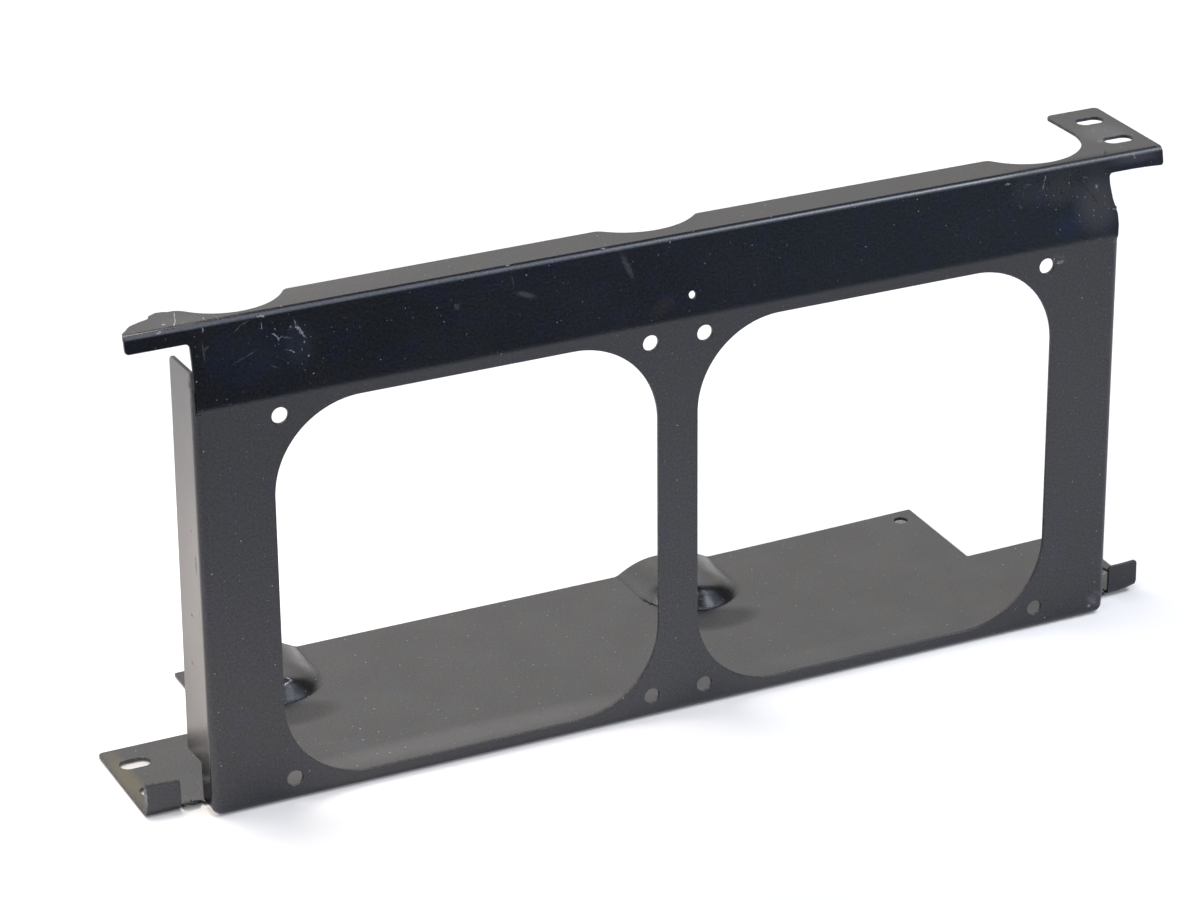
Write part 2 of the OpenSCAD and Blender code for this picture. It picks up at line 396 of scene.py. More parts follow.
        out = np.where((region == Region.SIDE_FLANGE.value)[:, None], side, strip)
        return np.where((region == Region.EAR_LIP.value)[:, None], lip, out)


@dataclass(frozen=True)
class Hump:
    """A hump pressed up into the shelf: a crown that runs back from a steep round nose."""

    x: float
    nose_y: float = 50.6
    width: float = 30.3
    nose_height: float = 5.0
    rear_height: float = 4.1
    rear_y: float = 80.9
    left_flank: float = 12.5
    left_power: float = 2.1
    left_start: float = 0.68
    right_flank: float = 11.0
    right_power: float = 1.6
    foot_ease: float = 0.002
    nose_middle: float = 13.4
    nose_softness: float = 2.6
    nose_ease: float = 0.003
    nose_drop: float = 0.0007
    nose_reach: float = 3.5
    nose_fade: float = 1.5

    def height(self, x: np.ndarray, y: np.ndarray) -> np.ndarray:
        """Height of the hump above the shelf.

        The hump's foot is a straight-sided line with a half round nose. On a flank the
        height is the crown's height at that depth, times 1 - (1 - t) to a power, where t
        runs from 0 at the foot to 1 where the crown begins, and a small square root term
        rounds the foot. The nose falls straight from half its height to its foot, and
        above that it is the crown's height times (1 + tanh(way from the middle / softness))
        / 2. The angle by which a point lies ahead of the axis's end, as a smooth share,
        leads from the flanks to the nose, on the left only close to the front.

        Args:
            x: Places across the plate.
            y: Depths.

        Returns:
            Heights in millimetres.
        """
        half = self.width / 2
        on_right = x > self.x
        back = np.maximum(self.nose_y + half - y, 0)
        from_axis = np.hypot(x - self.x, back)
        ahead = np.arcsin(np.clip(back / np.maximum(from_axis, 1e-6), 0, 1)) / (math.pi / 2)
        begin = np.where(on_right, 0.0, self.left_start)
        share = np.clip((ahead - begin) / (1 - begin), 0, 1)
        share = share * share * (3 - 2 * share)
        t = np.maximum(half - from_axis, 0) / np.where(on_right, self.right_flank, self.left_flank)
        t = np.clip(np.sqrt(t**2 + self.foot_ease) - math.sqrt(self.foot_ease), 0, 1)
        flank = 1 - (1 - t) ** np.where(on_right, self.right_power, self.left_power)
        inwards = (self.nose_middle - from_axis) / self.nose_softness
        nose = 0.5 + 0.5 * np.where(inwards > 0, np.tanh(inwards), inwards)
        nose = 0.5 * (nose + np.sqrt(nose**2 + self.nose_ease)) - self.nose_drop
        nose = nose * np.clip((half + self.nose_reach - from_axis) / self.nose_fade, 0, 1)
        along = np.clip((y - self.nose_y) / (self.rear_y - self.nose_y), 0, 1)
        crown = self.nose_height + (self.rear_height - self.nose_height) * along
        return crown * (flank + (nose - flank) * share)


@dataclass(frozen=True)
class Handling:
    """The two humps, and the small bends that use has given the plate, by their largest shifts."""

    humps: tuple[Hump, ...] = (Hump(34.6), Hump(-95.7))
    lip_lift: float = 1.2
    top_fall_per_mm: float = 0.0015
    ear_hang: float = 0.5
    left_flare: float = 0.7
    right_lean: float = 0.8
    corner_draw: float = 0.45

    def settle(self, p: np.ndarray) -> np.ndarray:
        """Moves points of the true plate to where the used plate has them.

        Each bend is a shift that grows smoothly from nothing, mostly as a power of the way
        from where it starts.

        Args:
            p: X, Y and Z, one row a point.

        Returns:
            The moved points.
        """
        x, y, z = p.T

        def grow(value: np.ndarray, start: float, stop: float, power: float = 1.0) -> np.ndarray:
            """A share that grows from 0 at the start to 1 at the stop, to a power."""
            return np.clip((value - start) / (stop - start), 0, 1) ** power

        on_shelf = grow(z, 3.2, 2.2) * grow(y, 10, 14)
        rise = sum(hump.height(x, y) for hump in self.humps) * on_shelf
        # The shelf lifts towards its right rear corner, and its right lip's outer end is bent up.
        to_rear = 0.35 + 0.95 * y / 80
        lift = np.clip((x - 30) / 90, 0, 1.35) ** 1.6 * to_rear * grow(z, 12, 2) * grow(y, 1, 13)
        lift += self.lip_lift * grow(x, 144.5, 152.2, 2) * grow(z, 11.5, 3) * grow(y, 18, 10)
        # The top falls slightly to the right, and the right ear's front lip hangs a little.
        lift -= self.top_fall_per_mm * x * grow(z, 90, 135)
        lift -= self.ear_hang * grow(x, 140, 152, 2) * grow(z, 137.5, 134) * grow(z, 126, 130)
        # The left flange flares towards its foot, and the right one's tip leans inwards.
        flare = self.left_flare * grow(np.abs(x), 134.5, 135.5) * (x < 0) * grow(y, 0, 16.5, 2)
        flare = flare * grow(z, 110, 10) * grow(z, 1.5, 9.5)
        lean = self.right_lean * (x > 134.95) * grow(y, 2.4, 6) * grow(z, 116, 126, 1.4)
        lean = lean * (z < 126.5) * (y < 17)
        # The formed corners at the panel's foot are drawn in and lifted a little.
        drawn = self.corner_draw * grow(np.abs(x), 131.0, 135.5, 2) * grow(z, 4.5, 0.5, 2) * grow(y, 5, 1)
        shift = -flare - lean - np.sign(x) * drawn
        return np.stack([x + shift, y, z + rise + lift + 0.6 * drawn], 1)


# The torn stub beside the left lip: places across, and how far it runs on past the lip's fold.
TORN_STUB = (
    (141.7, 1.9), (141.0, 2.7), (140.2, 2.2), (139.7, 3.1), (139.1, 1.7),
    (138.3, 2.4), (137.6, 1.3), (137.1, 1.8), (136.7, 0.5), (136.2, 0.4),
)


class Blank:
    """The outline and the holes of the flat sheet, in its own two coordinates."""

    def __init__(self, rule: FoldingRule) -> None:
        """Keeps the folding rule, which turns depths and heights into places along the strip."""
        self.rule = rule
        self.sizes = rule.sizes

    def flank(self, side: Side) -> np.ndarray:
        """The outline of one side, from the shelf's rear corner up to the top flange's ear.

        Its rows hold a place across, a place along and the corner's radius.

        Args:
            side: The side. The left one is the right one mirrored, but for its torn stub, the
                ends of its ear and lip, its upper tip and the slit above that.

        Returns:
            Places across and along, from the shelf up.
        """
        z = self.sizes
        rule = self.rule
        rear = rule.from_shelf(z.rear_y)
        ear_rear = rule.from_shelf(z.lower_ear_y)
        low = rule.from_shelf(z.ear_front_y)
        post = z.panel_half + 0.15
        foot = z.panel_half + rule.quarter + z.foot_y - rule.outer
        flange = z.panel_half + rule.quarter + z.side_y - rule.outer
        side_low = rule.from_panel(z.side_low_z)
        knee = rule.knots[3]
        lip_low = rule.from_band(z.ear_lip_low_z)
        if side is Side.LEFT:
            ear_x, lip_far_x, lip_outer, lip_inner = z.lower_half + 0.3, z.lower_half, 0.0, -0.8
            stub, neck_x = TORN_STUB, 135.9
            tip_rear_z, tip_front_z, tip_front = 126.5, 127.2, z.band_half + 0.75
            slit = [
                (tip_front, knee + 6.5, 1.0), (z.band_half + 0.3, knee + 3.0, 1.0),
                (z.band_half + 0.3, knee - 0.28, 0.1), (z.panel_half + 0.2, knee - 0.28, 0.0),
                (z.panel_half + 0.2, knee - 0.12, 0.0), (z.band_half + 0.16, knee - 0.08, 0.05),
                (z.band_half + 0.1, knee + 4.0, 1.0), (z.band_half, knee + 8.0, 2.0),
            ]
        else:
            ear_x, lip_far_x, lip_outer, lip_inner = z.lower_half, z.lower_half - 0.5, -0.5, -0.6
            stub, neck_x = (), z.lip_x - 0.6
            tip_rear_z, tip_front_z, tip_front = z.side_top_z - 0.5, z.side_top_z - 1.5, z.band_wide + 0.6
            slit = [
                (tip_front, knee - 0.45, 0.2), (z.panel_half + 0.9, knee - 0.45, 0.2),
                (z.panel_half + 0.9, knee, 0.2), (z.band_wide - 0.6, knee, 0.3),
                (z.band_wide - 0.1, knee + 3.5, 3.0), (z.band_wide - 0.1, knee + 6.5, 3.0),
                (z.band_half, knee + 11.0, 5.0), (z.band_half - 0.5, knee + 15, 5.0),
            ]
        first = filleted([
            (z.step_x - 20, rear, 0), (z.step_x, rear, 0.6), (z.step_x, ear_rear, 0.5),
            (ear_x, ear_rear, 1.5), (lip_far_x, rule.lip_end + lip_outer, 1.0),
            (z.lip_x, rule.lip_end + lip_inner, 0.8), (z.lip_x, rule.lip_start - 0.4, 0.2),
            (z.lip_x - 0.5, rule.lip_start - 0.4, 0.2),
            *((x, rule.lip_start + run, 0.15) for x, run in stub),
            (neck_x, low, 0.2), (post, low, 0.4), (post, rule.knots[1] - 0.3, 0.1),
        ])[:-1]
        ball = arc(z.panel_half, 0, rule.quarter, -86, 0, 0.3)
        second = filleted([
            (z.panel_half + rule.quarter, 0, 0), (foot, 0, 0.5), (foot, side_low, 0.4),
            (flange, side_low, 0.8), (flange, rule.from_panel(tip_rear_z), 2.0),
            (tip_front, rule.from_panel(tip_front_z), 0.3),
            *slit,
            (slit[-1][0], lip_low, 1.2), (z.upper_half, lip_low, 1.0), (z.upper_half, lip_low + 3, 0),
        ])
        out = np.concatenate([first, ball, second[1:]])
        out[:, 0] *= side.value
        return out

    def top_edge(self) -> np.ndarray:
        """The rear edge of the top flange with its ears, from the right end to the left.

        Its three scallops are circles, with corners eased where they meet the edge. The left
        ear is cut away to a ragged line.

        Returns:
            Places across and along.
        """
        z = self.sizes
        edge = z.flange_y
        right = Scallop(118.1, 25.7, 17.3)
        middle = Scallop(-0.8, 31.3, 20.1)
        left = Scallop(-119.3, 25.0, 17.0)
        ear = filleted([
            (z.upper_half, 9.5, 0), (z.upper_half, z.upper_ear_y, 1.5),
            (135.0, z.upper_ear_y, 2.0), (135.3, 30.0, 0),
        ])[:-1]
        ragged = filleted([
            (-136.2, 15.5, 0), (-137.6, 16.2, 0.8), (-139.5, 16.3, 1.0), (-141.8, 15.0, 0.4),
            (-142.3, 13.4, 0.3), (-145.2, 12.4, 0.8), (-148.2, 11.0, 0.6), (-149.5, 9.5, 0.5),
            (-150.3, 8.4, 0.3), (-151.5, 7.2, 0.5), (-151.9, 5.5, 0.2), (-151.9, 5.0, 0),
        ])
        out = np.concatenate([
            ear, right.floor_from(-1), right.exit(Side.LEFT, 2.5, edge),
            middle.exit(Side.RIGHT, 2.2, edge + 0.3), middle.floor, middle.exit(Side.LEFT, 4.0, edge + 0.3),
            left.exit(Side.RIGHT, 2.2, edge - 0.1), left.floor, left.exit(Side.LEFT, 5.0, 15.6), ragged,
        ])
        out[:, 1] = self.rule.from_flange(out[:, 1])
        return out

    def outline(self) -> np.ndarray:
        """The whole outline.

        Returns:
            The closed line, once round with the sheet on its left.
        """
        right = self.flank(Side.RIGHT)
        left = self.flank(Side.LEFT)[::-1]
        loop = np.concatenate([right[1:], self.top_edge(), left[:-1]])
        return self.refined(loop)

    def refined(self, loop: np.ndarray) -> np.ndarray:
        """Adds points to a closed line so that it follows the folds.

        Points go in where a side crosses a row of a fold, and every millimetre along long
        sides. They are sorted by side and by their place on it.

        Args:
            loop: One row a corner.

        Returns:
            The closed line with the points added.
        """
        nxt = np.roll(loop, -1, 0)
        step = nxt - loop
        length = np.hypot(*step.T)
        keep = length > 1e-4
        loop, step, length = loop[keep], step[keep], length[keep]
        rows = self.fold_rows()
        columns = self.fold_columns()
        found = [np.stack([np.arange(len(loop)), np.zeros(len(loop))], 1)]
        for axis, levels in ((1, rows), (0, columns)):
            with np.errstate(divide="ignore", invalid="ignore"):
                t = (levels[None] - loop[:, axis, None]) / step[:, axis, None]
            near = 0.12 / length[:, None]
            i, j = np.nonzero((t > near) & (t < 1 - near) & np.isfinite(t))
            found.append(np.stack([i, t[i, j]], 1))
        many = np.maximum(np.ceil(length / 1.1).astype(int), 1)
        index = np.repeat(np.arange(len(loop)), many)
        place = np.arange(len(index)) - np.repeat(np.cumsum(many) - many, many)
        found.append(np.stack([index, place / many[index]], 1)[place > 0])
        every = np.concatenate(found)
        every = every[np.lexsort((every[:, 1], every[:, 0]))]
        i = every[:, 0].astype(int)
        points = loop[i] + step[i] * every[:, 1:]
        gap = np.hypot(*(points - np.roll(points, 1, 0)).T)
        return points[gap > 0.1]

    def fold_rows(self) -> np.ndarray:
        """Rows of points that the strip's three folds need.

        Returns:
            Places along the strip.
        """
        k = self.rule.knots
        return np.concatenate([
            np.linspace(k[1], k[2], 11), np.linspace(k[3], k[4], 6), np.linspace(k[5], k[6], 10),
        ])

    def fold_columns(self) -> np.ndarray:
        """Columns of points that the upright folds need.

        Returns:
            Places across the blank.
        """
        z = self.sizes
        right = np.linspace(z.panel_half, z.panel_half + self.rule.quarter, 11)
        return np.concatenate([-right[::-1], right])

    def holes(self) -> list[np.ndarray]:
        """All the holes: the openings, the screw holes, the slots and two small holes.

        Returns:
            Closed lines, each once round with the hole on its right.
        """
        z = self.sizes
        rule = self.rule
        out = []
        middle = rule.from_panel(z.opening_z)
        straight = z.opening_half - z.opening_r
        for side in Side:
            x = side.value * z.fan_x
            out.append(np.concatenate([
                arc(x + a * straight, middle + b * straight, z.opening_r, start, start - 90, 0.9)
                for a, b, start in ((1, 1, 90), (1, -1, 0), (-1, -1, -90), (-1, 1, -180))
            ]))
            for a in (-1, 1):
                for b in (-1, 1):
                    along = rule.from_panel(z.fan_z + b * z.screw_half)
                    out.append(arc(x + a * z.screw_half, along, z.screw_r, 360, 12, 0.45))
            for y in (36.1, 20.1):
                out.append(self.slot(side.value * z.slot_x, rule.from_shelf(y), z.slot_length))
        for x, y, length in ((144.35, 31.3, 8.2), (143.9, 15.3, z.slot_length)):
            out.append(self.slot(x, float(rule.from_flange(y)), length))
        # The small hole in the band, and the one near the shelf's right rear corner.
        out.append(arc(4.9, rule.knots[4] + 4.57, 1.05, 360, 20, 0.35))
        out.append(arc(111.6, rule.from_shelf(75.4), 2.0, 360, 14, 0.45))
        return [self.refined(loop) for loop in out]

    def slot(self, x: float, s: float, length: float) -> np.ndarray:
        """A slot that runs across the blank: two half circles joined by straight sides.

        Args:
            x: Its centre across.
            s: Its centre along.
            length: Its whole length.

        Returns:
            The closed line.
        """
        r = self.sizes.slot_r
        reach = length / 2 - r
        return np.concatenate([arc(x + reach, s, r, 90, -90, 0.45), arc(x - reach, s, r, -90, -270, 0.45)])


@dataclass
class MountingPlate:
    """The whole plate, made as one closed skin from its blank.

    Points of the lattice nearer to an edge than its clearance are left out.
    """

    sizes: SheetSizes = field(default_factory=SheetSizes)
    handling: Handling = field(default_factory=Handling)
    clearance: float = 0.55

    def __post_init__(self) -> None:
        """Makes the folding rule and the blank."""
        self.rule = FoldingRule(self.sizes)
        self.blank = Blank(self.rule)

    def spot(self, u: np.ndarray, s: np.ndarray, depth: np.ndarray, region: np.ndarray) -> np.ndarray:
        """Places of blank points on the used plate, in metres in the part's frame."""
        p = self.handling.settle(self.rule.place(u, s, depth, region))
        return (p - np.array([0, self.sizes.rear_y / 2, 0])) * MM

    @staticmethod
    def outward(loop: np.ndarray) -> np.ndarray:
        """Vectors in the blank's plane that point out of the sheet at each point of a line.

        Each is the mean of the two neighbouring sides' normals, made longer at a corner so
        that a shift along it moves both sides by the same amount.

        Args:
            loop: The closed line.

        Returns:
            One vector a point.
        """
        side = np.roll(loop, -1, 0) - loop
        side /= np.hypot(*side.T)[:, None]
        normal = np.stack([side[:, 1], -side[:, 0]], 1)
        mean = normal + np.roll(normal, 1, 0)
        return mean / np.maximum((mean * mean).sum(1) / 2, 0.6)[:, None]

    def lattice(self) -> np.ndarray:
        """Lays out points for the blank: a coarse grid, closer where it is folded or pressed.

        Returns:
            One row a point; some lie outside the blank.
        """
        z = self.sizes
        rule = self.rule
        k = rule.knots

        def grid(columns: np.ndarray, rows: np.ndarray) -> np.ndarray:
            """Every crossing of the columns with the rows."""
            a, b = np.meshgrid(columns, rows)
            return np.stack([a.ravel(), b.ravel()], 1)

        rows = np.sort(np.concatenate([
            self.blank.fold_rows(), np.linspace(k[0] + 1.5, k[1] - 1.2, 27),
            np.linspace(k[2] + 2, k[3] - 2, 38), np.linspace(k[4] + 2, k[5] - 1.5, 7),
            np.linspace(k[6] + 1.5, k[6] + 33, 16),
        ]))
        # The rows of the shelf and of the top flange run out into the ears.
        ears = (rows < k[1] - 4) | (rows > k[5] - 6)
        parts = [
            grid(np.linspace(-133.2, 133.2, 90), rows[~ears]),
            grid(np.linspace(-150.6, 150.6, 102), rows[ears]),
        ]
        offsets = np.concatenate([
            np.linspace(0, rule.quarter, 11), np.linspace(rule.quarter + 1.2, rule.quarter + 13.6, 7),
        ])
        upright = np.concatenate([
            np.linspace(0, k[3], 46), np.linspace(k[3] + 1.5, rule.from_panel(z.side_top_z) - 1, 4),
        ])
        lip_rows = np.concatenate([
            np.linspace(rule.lip_start, rule.lip_start + rule.quarter, 9),
            np.linspace(rule.lip_start + 3.4, rule.lip_end - 1, 4),
        ])
        near_lip = rule.lip_start - np.array([0.4, 1.4, 2.8])
        way, reach = np.meshgrid(np.radians(np.linspace(9, 81, 7)), np.linspace(0.4, rule.quarter - 0.4, 4))
        for sign in (side.value for side in Side):
            ball_x = sign * (z.panel_half + reach * np.cos(way))
            parts += [
                grid(sign * (z.panel_half + offsets), upright),
                grid(sign * np.linspace(z.lip_x + 1, z.lower_half - 1, 6), lip_rows),
                grid(sign * np.linspace(z.panel_half + 0.8, z.lower_half - 1, 17), near_lip),
                np.stack([ball_x.ravel(), (-reach * np.sin(way)).ravel()], 1),
            ]
        points = np.concatenate(parts)
        # Each hump has a fine grid over its nose, and a less fine one behind that.
        fine = []
        for hump in self.handling.humps:
            x0, x1, y0 = hump.x - 18.5, hump.x + 18.5, hump.nose_y - 8.5
            s0 = rule.from_shelf(y0)
            inside = (points[:, 0] > x0 - 0.5) & (points[:, 0] < x1 + 0.5) & (points[:, 1] < s0 + 0.5)
            points = points[~inside]
            fine.append(grid(np.arange(x0, x1 + 0.1, 0.6), np.arange(s0, s0 - 16.3, -0.55)))
            fine.append(grid(np.arange(x0, x1 + 0.1, 0.8), np.arange(s0 - 16.9, k[0] + 0.4, -0.8)))
        return np.concatenate([points, *fine])

    @staticmethod
    def inside(points: np.ndarray, loops: list[np.ndarray]) -> np.ndarray:
        """Tells which points lie in the sheet: a ray from each one crosses an odd number of lines.

        Args:
            points: Places in the blank.
            loops: Closed lines.

        Returns:
            A mask.
        """
        a = np.concatenate(loops)
        b = np.concatenate([np.roll(loop, -1, 0) for loop in loops])
        rise = np.where(np.abs(b[:, 1] - a[:, 1]) < 1e-12, 1.0, b[:, 1] - a[:, 1])
        slope = (b[:, 0] - a[:, 0]) / rise
        odd = np.empty(len(points), bool)
        for i in range(0, len(points), 4000):
            px, py = points[i:i + 4000, :1], points[i:i + 4000, 1:]
            crosses = ((a[:, 1] > py) != (b[:, 1] > py)) & (px < a[:, 0] + (py - a[:, 1]) * slope)
            odd[i:i + 4000] = crosses.sum(1) % 2 == 1
        return odd

    @staticmethod
    def distance(points: np.ndarray, loops: list[np.ndarray]) -> np.ndarray:
        """Distance of points from the lines, each taken at the nearest place on the nearest side.

        Args:
            points: Places in the blank.
            loops: Closed lines.

        Returns:
            Distances.
        """
        a = np.concatenate(loops)
        d = np.concatenate([np.roll(loop, -1, 0) for loop in loops]) - a
        size = (d * d).sum(1)
        far = np.empty(len(points))
        for i in range(0, len(points), 2000):
            dx = points[i:i + 2000, :1] - a[:, 0]
            dy = points[i:i + 2000, 1:] - a[:, 1]
            t = np.clip((dx * d[:, 0] + dy * d[:, 1]) / size, 0, 1)
            far[i:i + 2000] = np.sqrt(((dx - t * d[:, 0]) ** 2 + (dy - t * d[:, 1]) ** 2).min(1))
        return far

    def build(self, name: str) -> bpy.types.Object:
        """Makes the mesh: two skins of triangles, joined all round by a rounded rim.

        Args:
            name: Name of the object.

        Returns:
            The new object, at the origin.
        """
        edge = self.sizes.edge_r
        loops = [self.blank.outline(), *self.blank.holes()]
        out = [self.outward(loop) for loop in loops]
        inner = [loop - n * edge for loop, n in zip(loops, out)]
        lattice = self.lattice()
        lattice = lattice[self.inside(lattice, loops)]
        far = self.distance(lattice, loops)
        clear = far > self.clearance
        lattice, far = lattice[clear], far[clear]
        flat = np.concatenate([*inner, lattice])
        sides = []
        start = 0
        for loop in inner:
            i = np.arange(start, start + len(loop))
            sides.append(np.stack([i, np.roll(i, -1)], 1))
            start += len(loop)
        ring = start
        places = [Vector(p) for p in flat.tolist()]
        result = delaunay_2d_cdt(places, np.concatenate(sides).tolist(), [], 0, 1e-5)
        skin = np.array([v[:] for v in result[0]])
        faces = np.array([f[:] for f in result[2]])
        if len(skin) != len(flat):
            LOG.warning("the blank's lines met each other: %d points became %d", len(flat), len(skin))
        faces = faces[self.inside(skin[faces].mean(1), inner)]
        e1, e2 = skin[faces[:, 1]] - skin[faces[:, 0]], skin[faces[:, 2]] - skin[faces[:, 0]]
        turned = e1[:, 0] * e2[:, 1] - e1[:, 1] * e2[:, 0] < 0
        faces[turned] = faces[turned][:, ::-1]
        return self.to_mesh(name, loops, out, skin, faces, np.concatenate([np.full(ring, edge), far]))

    def to_mesh(
        self,
        name: str,
        loops: list[np.ndarray],
        out: list[np.ndarray],
        skin: np.ndarray,
        faces: np.ndarray,
        far: np.ndarray,
    ) -> bpy.types.Object:
        """Folds the skins and the rim and writes them to a mesh with its own normals.

        The rim goes round a quarter circle off each skin, with a straight wall between
        them. A rim point's normal turns from the skin's normal to the outline's.

        Args:
            name: Name of the object.
            loops: The outline and the holes.
            out: Outward vectors of their points.
            skin: Points of one skin, which begin with those of the loops.
            faces: Triangles of the outer skin.
            far: Distance of the skin's points from the outline and the holes.

        Returns:
            The new object.
        """
        r = self.sizes.edge_r
        turn = np.radians([22.5, 45, 67.5, 90])
        inset = r * (1 - np.sin(turn))
        inset = np.concatenate([inset, inset[::-1]])
        depth = r * (1 - np.cos(turn)) / self.sizes.thickness
        depth = np.concatenate([depth, 1 - depth[::-1]])
        angle = np.concatenate([turn, np.pi - turn[::-1]])
        line = np.concatenate(loops)
        away = np.concatenate(out)
        step = 0.02
        region = self.rule.regions(*skin.T)
        rim_region = self.rule.regions(*(line - away * step).T)
        ring = len(line)
        n = len(skin)
        # Each layer has its points, depth, regions, turn of the normal, and way out of the sheet.
        layers = [(skin, h, region, a, np.zeros((n, 2))) for h, a in ((0.0, 0.0), (1.0, np.pi))]
        layers += [(line - away * i, h, rim_region, a, away) for i, h, a in zip(inset, depth, angle)]
        points, region, push = (np.concatenate([layer[i] for layer in layers]) for i in (0, 2, 4))
        d, tilt = (np.concatenate([np.full(len(layer[0]), layer[i]) for layer in layers]) for i in (1, 3))
        u, s = points.T
        co = self.spot(u, s, d, region)
        du = self.spot(u + step, s, d, region) - self.spot(u - step, s, d, region)
        ds = self.spot(u, s + step, d, region) - self.spot(u, s - step, d, region)
        face_normal = np.cross(du, ds)
        face_normal /= np.linalg.norm(face_normal, axis=1)[:, None]
        rim_normal = du * push[:, :1] + ds * push[:, 1:]
        rim_normal /= np.maximum(np.linalg.norm(rim_normal, axis=1)[:, None], 1e-12)
        normal = np.cos(tilt)[:, None] * face_normal + np.sin(tilt)[:, None] * rim_normal

        quads = []
        start = 0
        for loop in loops:
            i = np.arange(start, start + len(loop))
            j = np.roll(i, -1)
            levels = [0, *(2 * n + ring * k for k in range(len(inset))), n]
            for a, b in zip(levels, levels[1:]):
                quads.append(np.stack([a + i, b + i, b + j, a + j], 1))
            start += len(loop)
        quads = np.concatenate(quads)
        tris = np.concatenate([faces, faces[:, ::-1] + n])
        mesh = bpy.data.meshes.new(name)
        corners = np.concatenate([tris.ravel(), quads.ravel()])
        starts = np.concatenate([np.arange(len(tris)) * 3, len(tris) * 3 + np.arange(len(quads)) * 4])
        mesh.vertices.add(len(co))
        mesh.vertices.foreach_set("co", co.astype(np.float32).ravel())
        mesh.loops.add(len(corners))
        mesh.loops.foreach_set("vertex_index", corners.astype(np.int32))
        mesh.polygons.add(len(starts))
        mesh.polygons.foreach_set("loop_start", starts.astype(np.int32))
        mesh.update(calc_edges=True)
        if mesh.validate(verbose=False):
            LOG.warning("%s had faces that could not be kept", name)
        mesh.polygons.foreach_set("use_smooth", np.ones(len(mesh.polygons), bool))
        mesh.normals_split_custom_set_from_vertices(normal.astype(np.float32).tolist())

        edge = np.concatenate([far, far, *(np.full(ring, i) for i in inset)])
        wall = np.concatenate([np.zeros(2 * n), np.repeat(np.sin(angle) ** 2, ring)])
        inner_side = np.concatenate([np.zeros(n), np.ones(n), np.repeat(depth, ring)])
        for label, values in (("edge_mm", edge), ("cut_wall", wall), ("inner_side", inner_side)):
            attribute = mesh.attributes.new(label, "FLOAT", "POINT")
            attribute.data.foreach_set("value", values.astype(np.float32))
        flat = mesh.attributes.new("blank_mm", "FLOAT_VECTOR", "POINT")
        flat.data.foreach_set("vector", np.stack([u, s, np.zeros(len(u))], 1).astype(np.float32).ravel())
        obj = linked(name, mesh)
        LOG.info("%s: %d vertices, %d triangles", name, len(co), len(tris) + 2 * len(quads))
        return obj


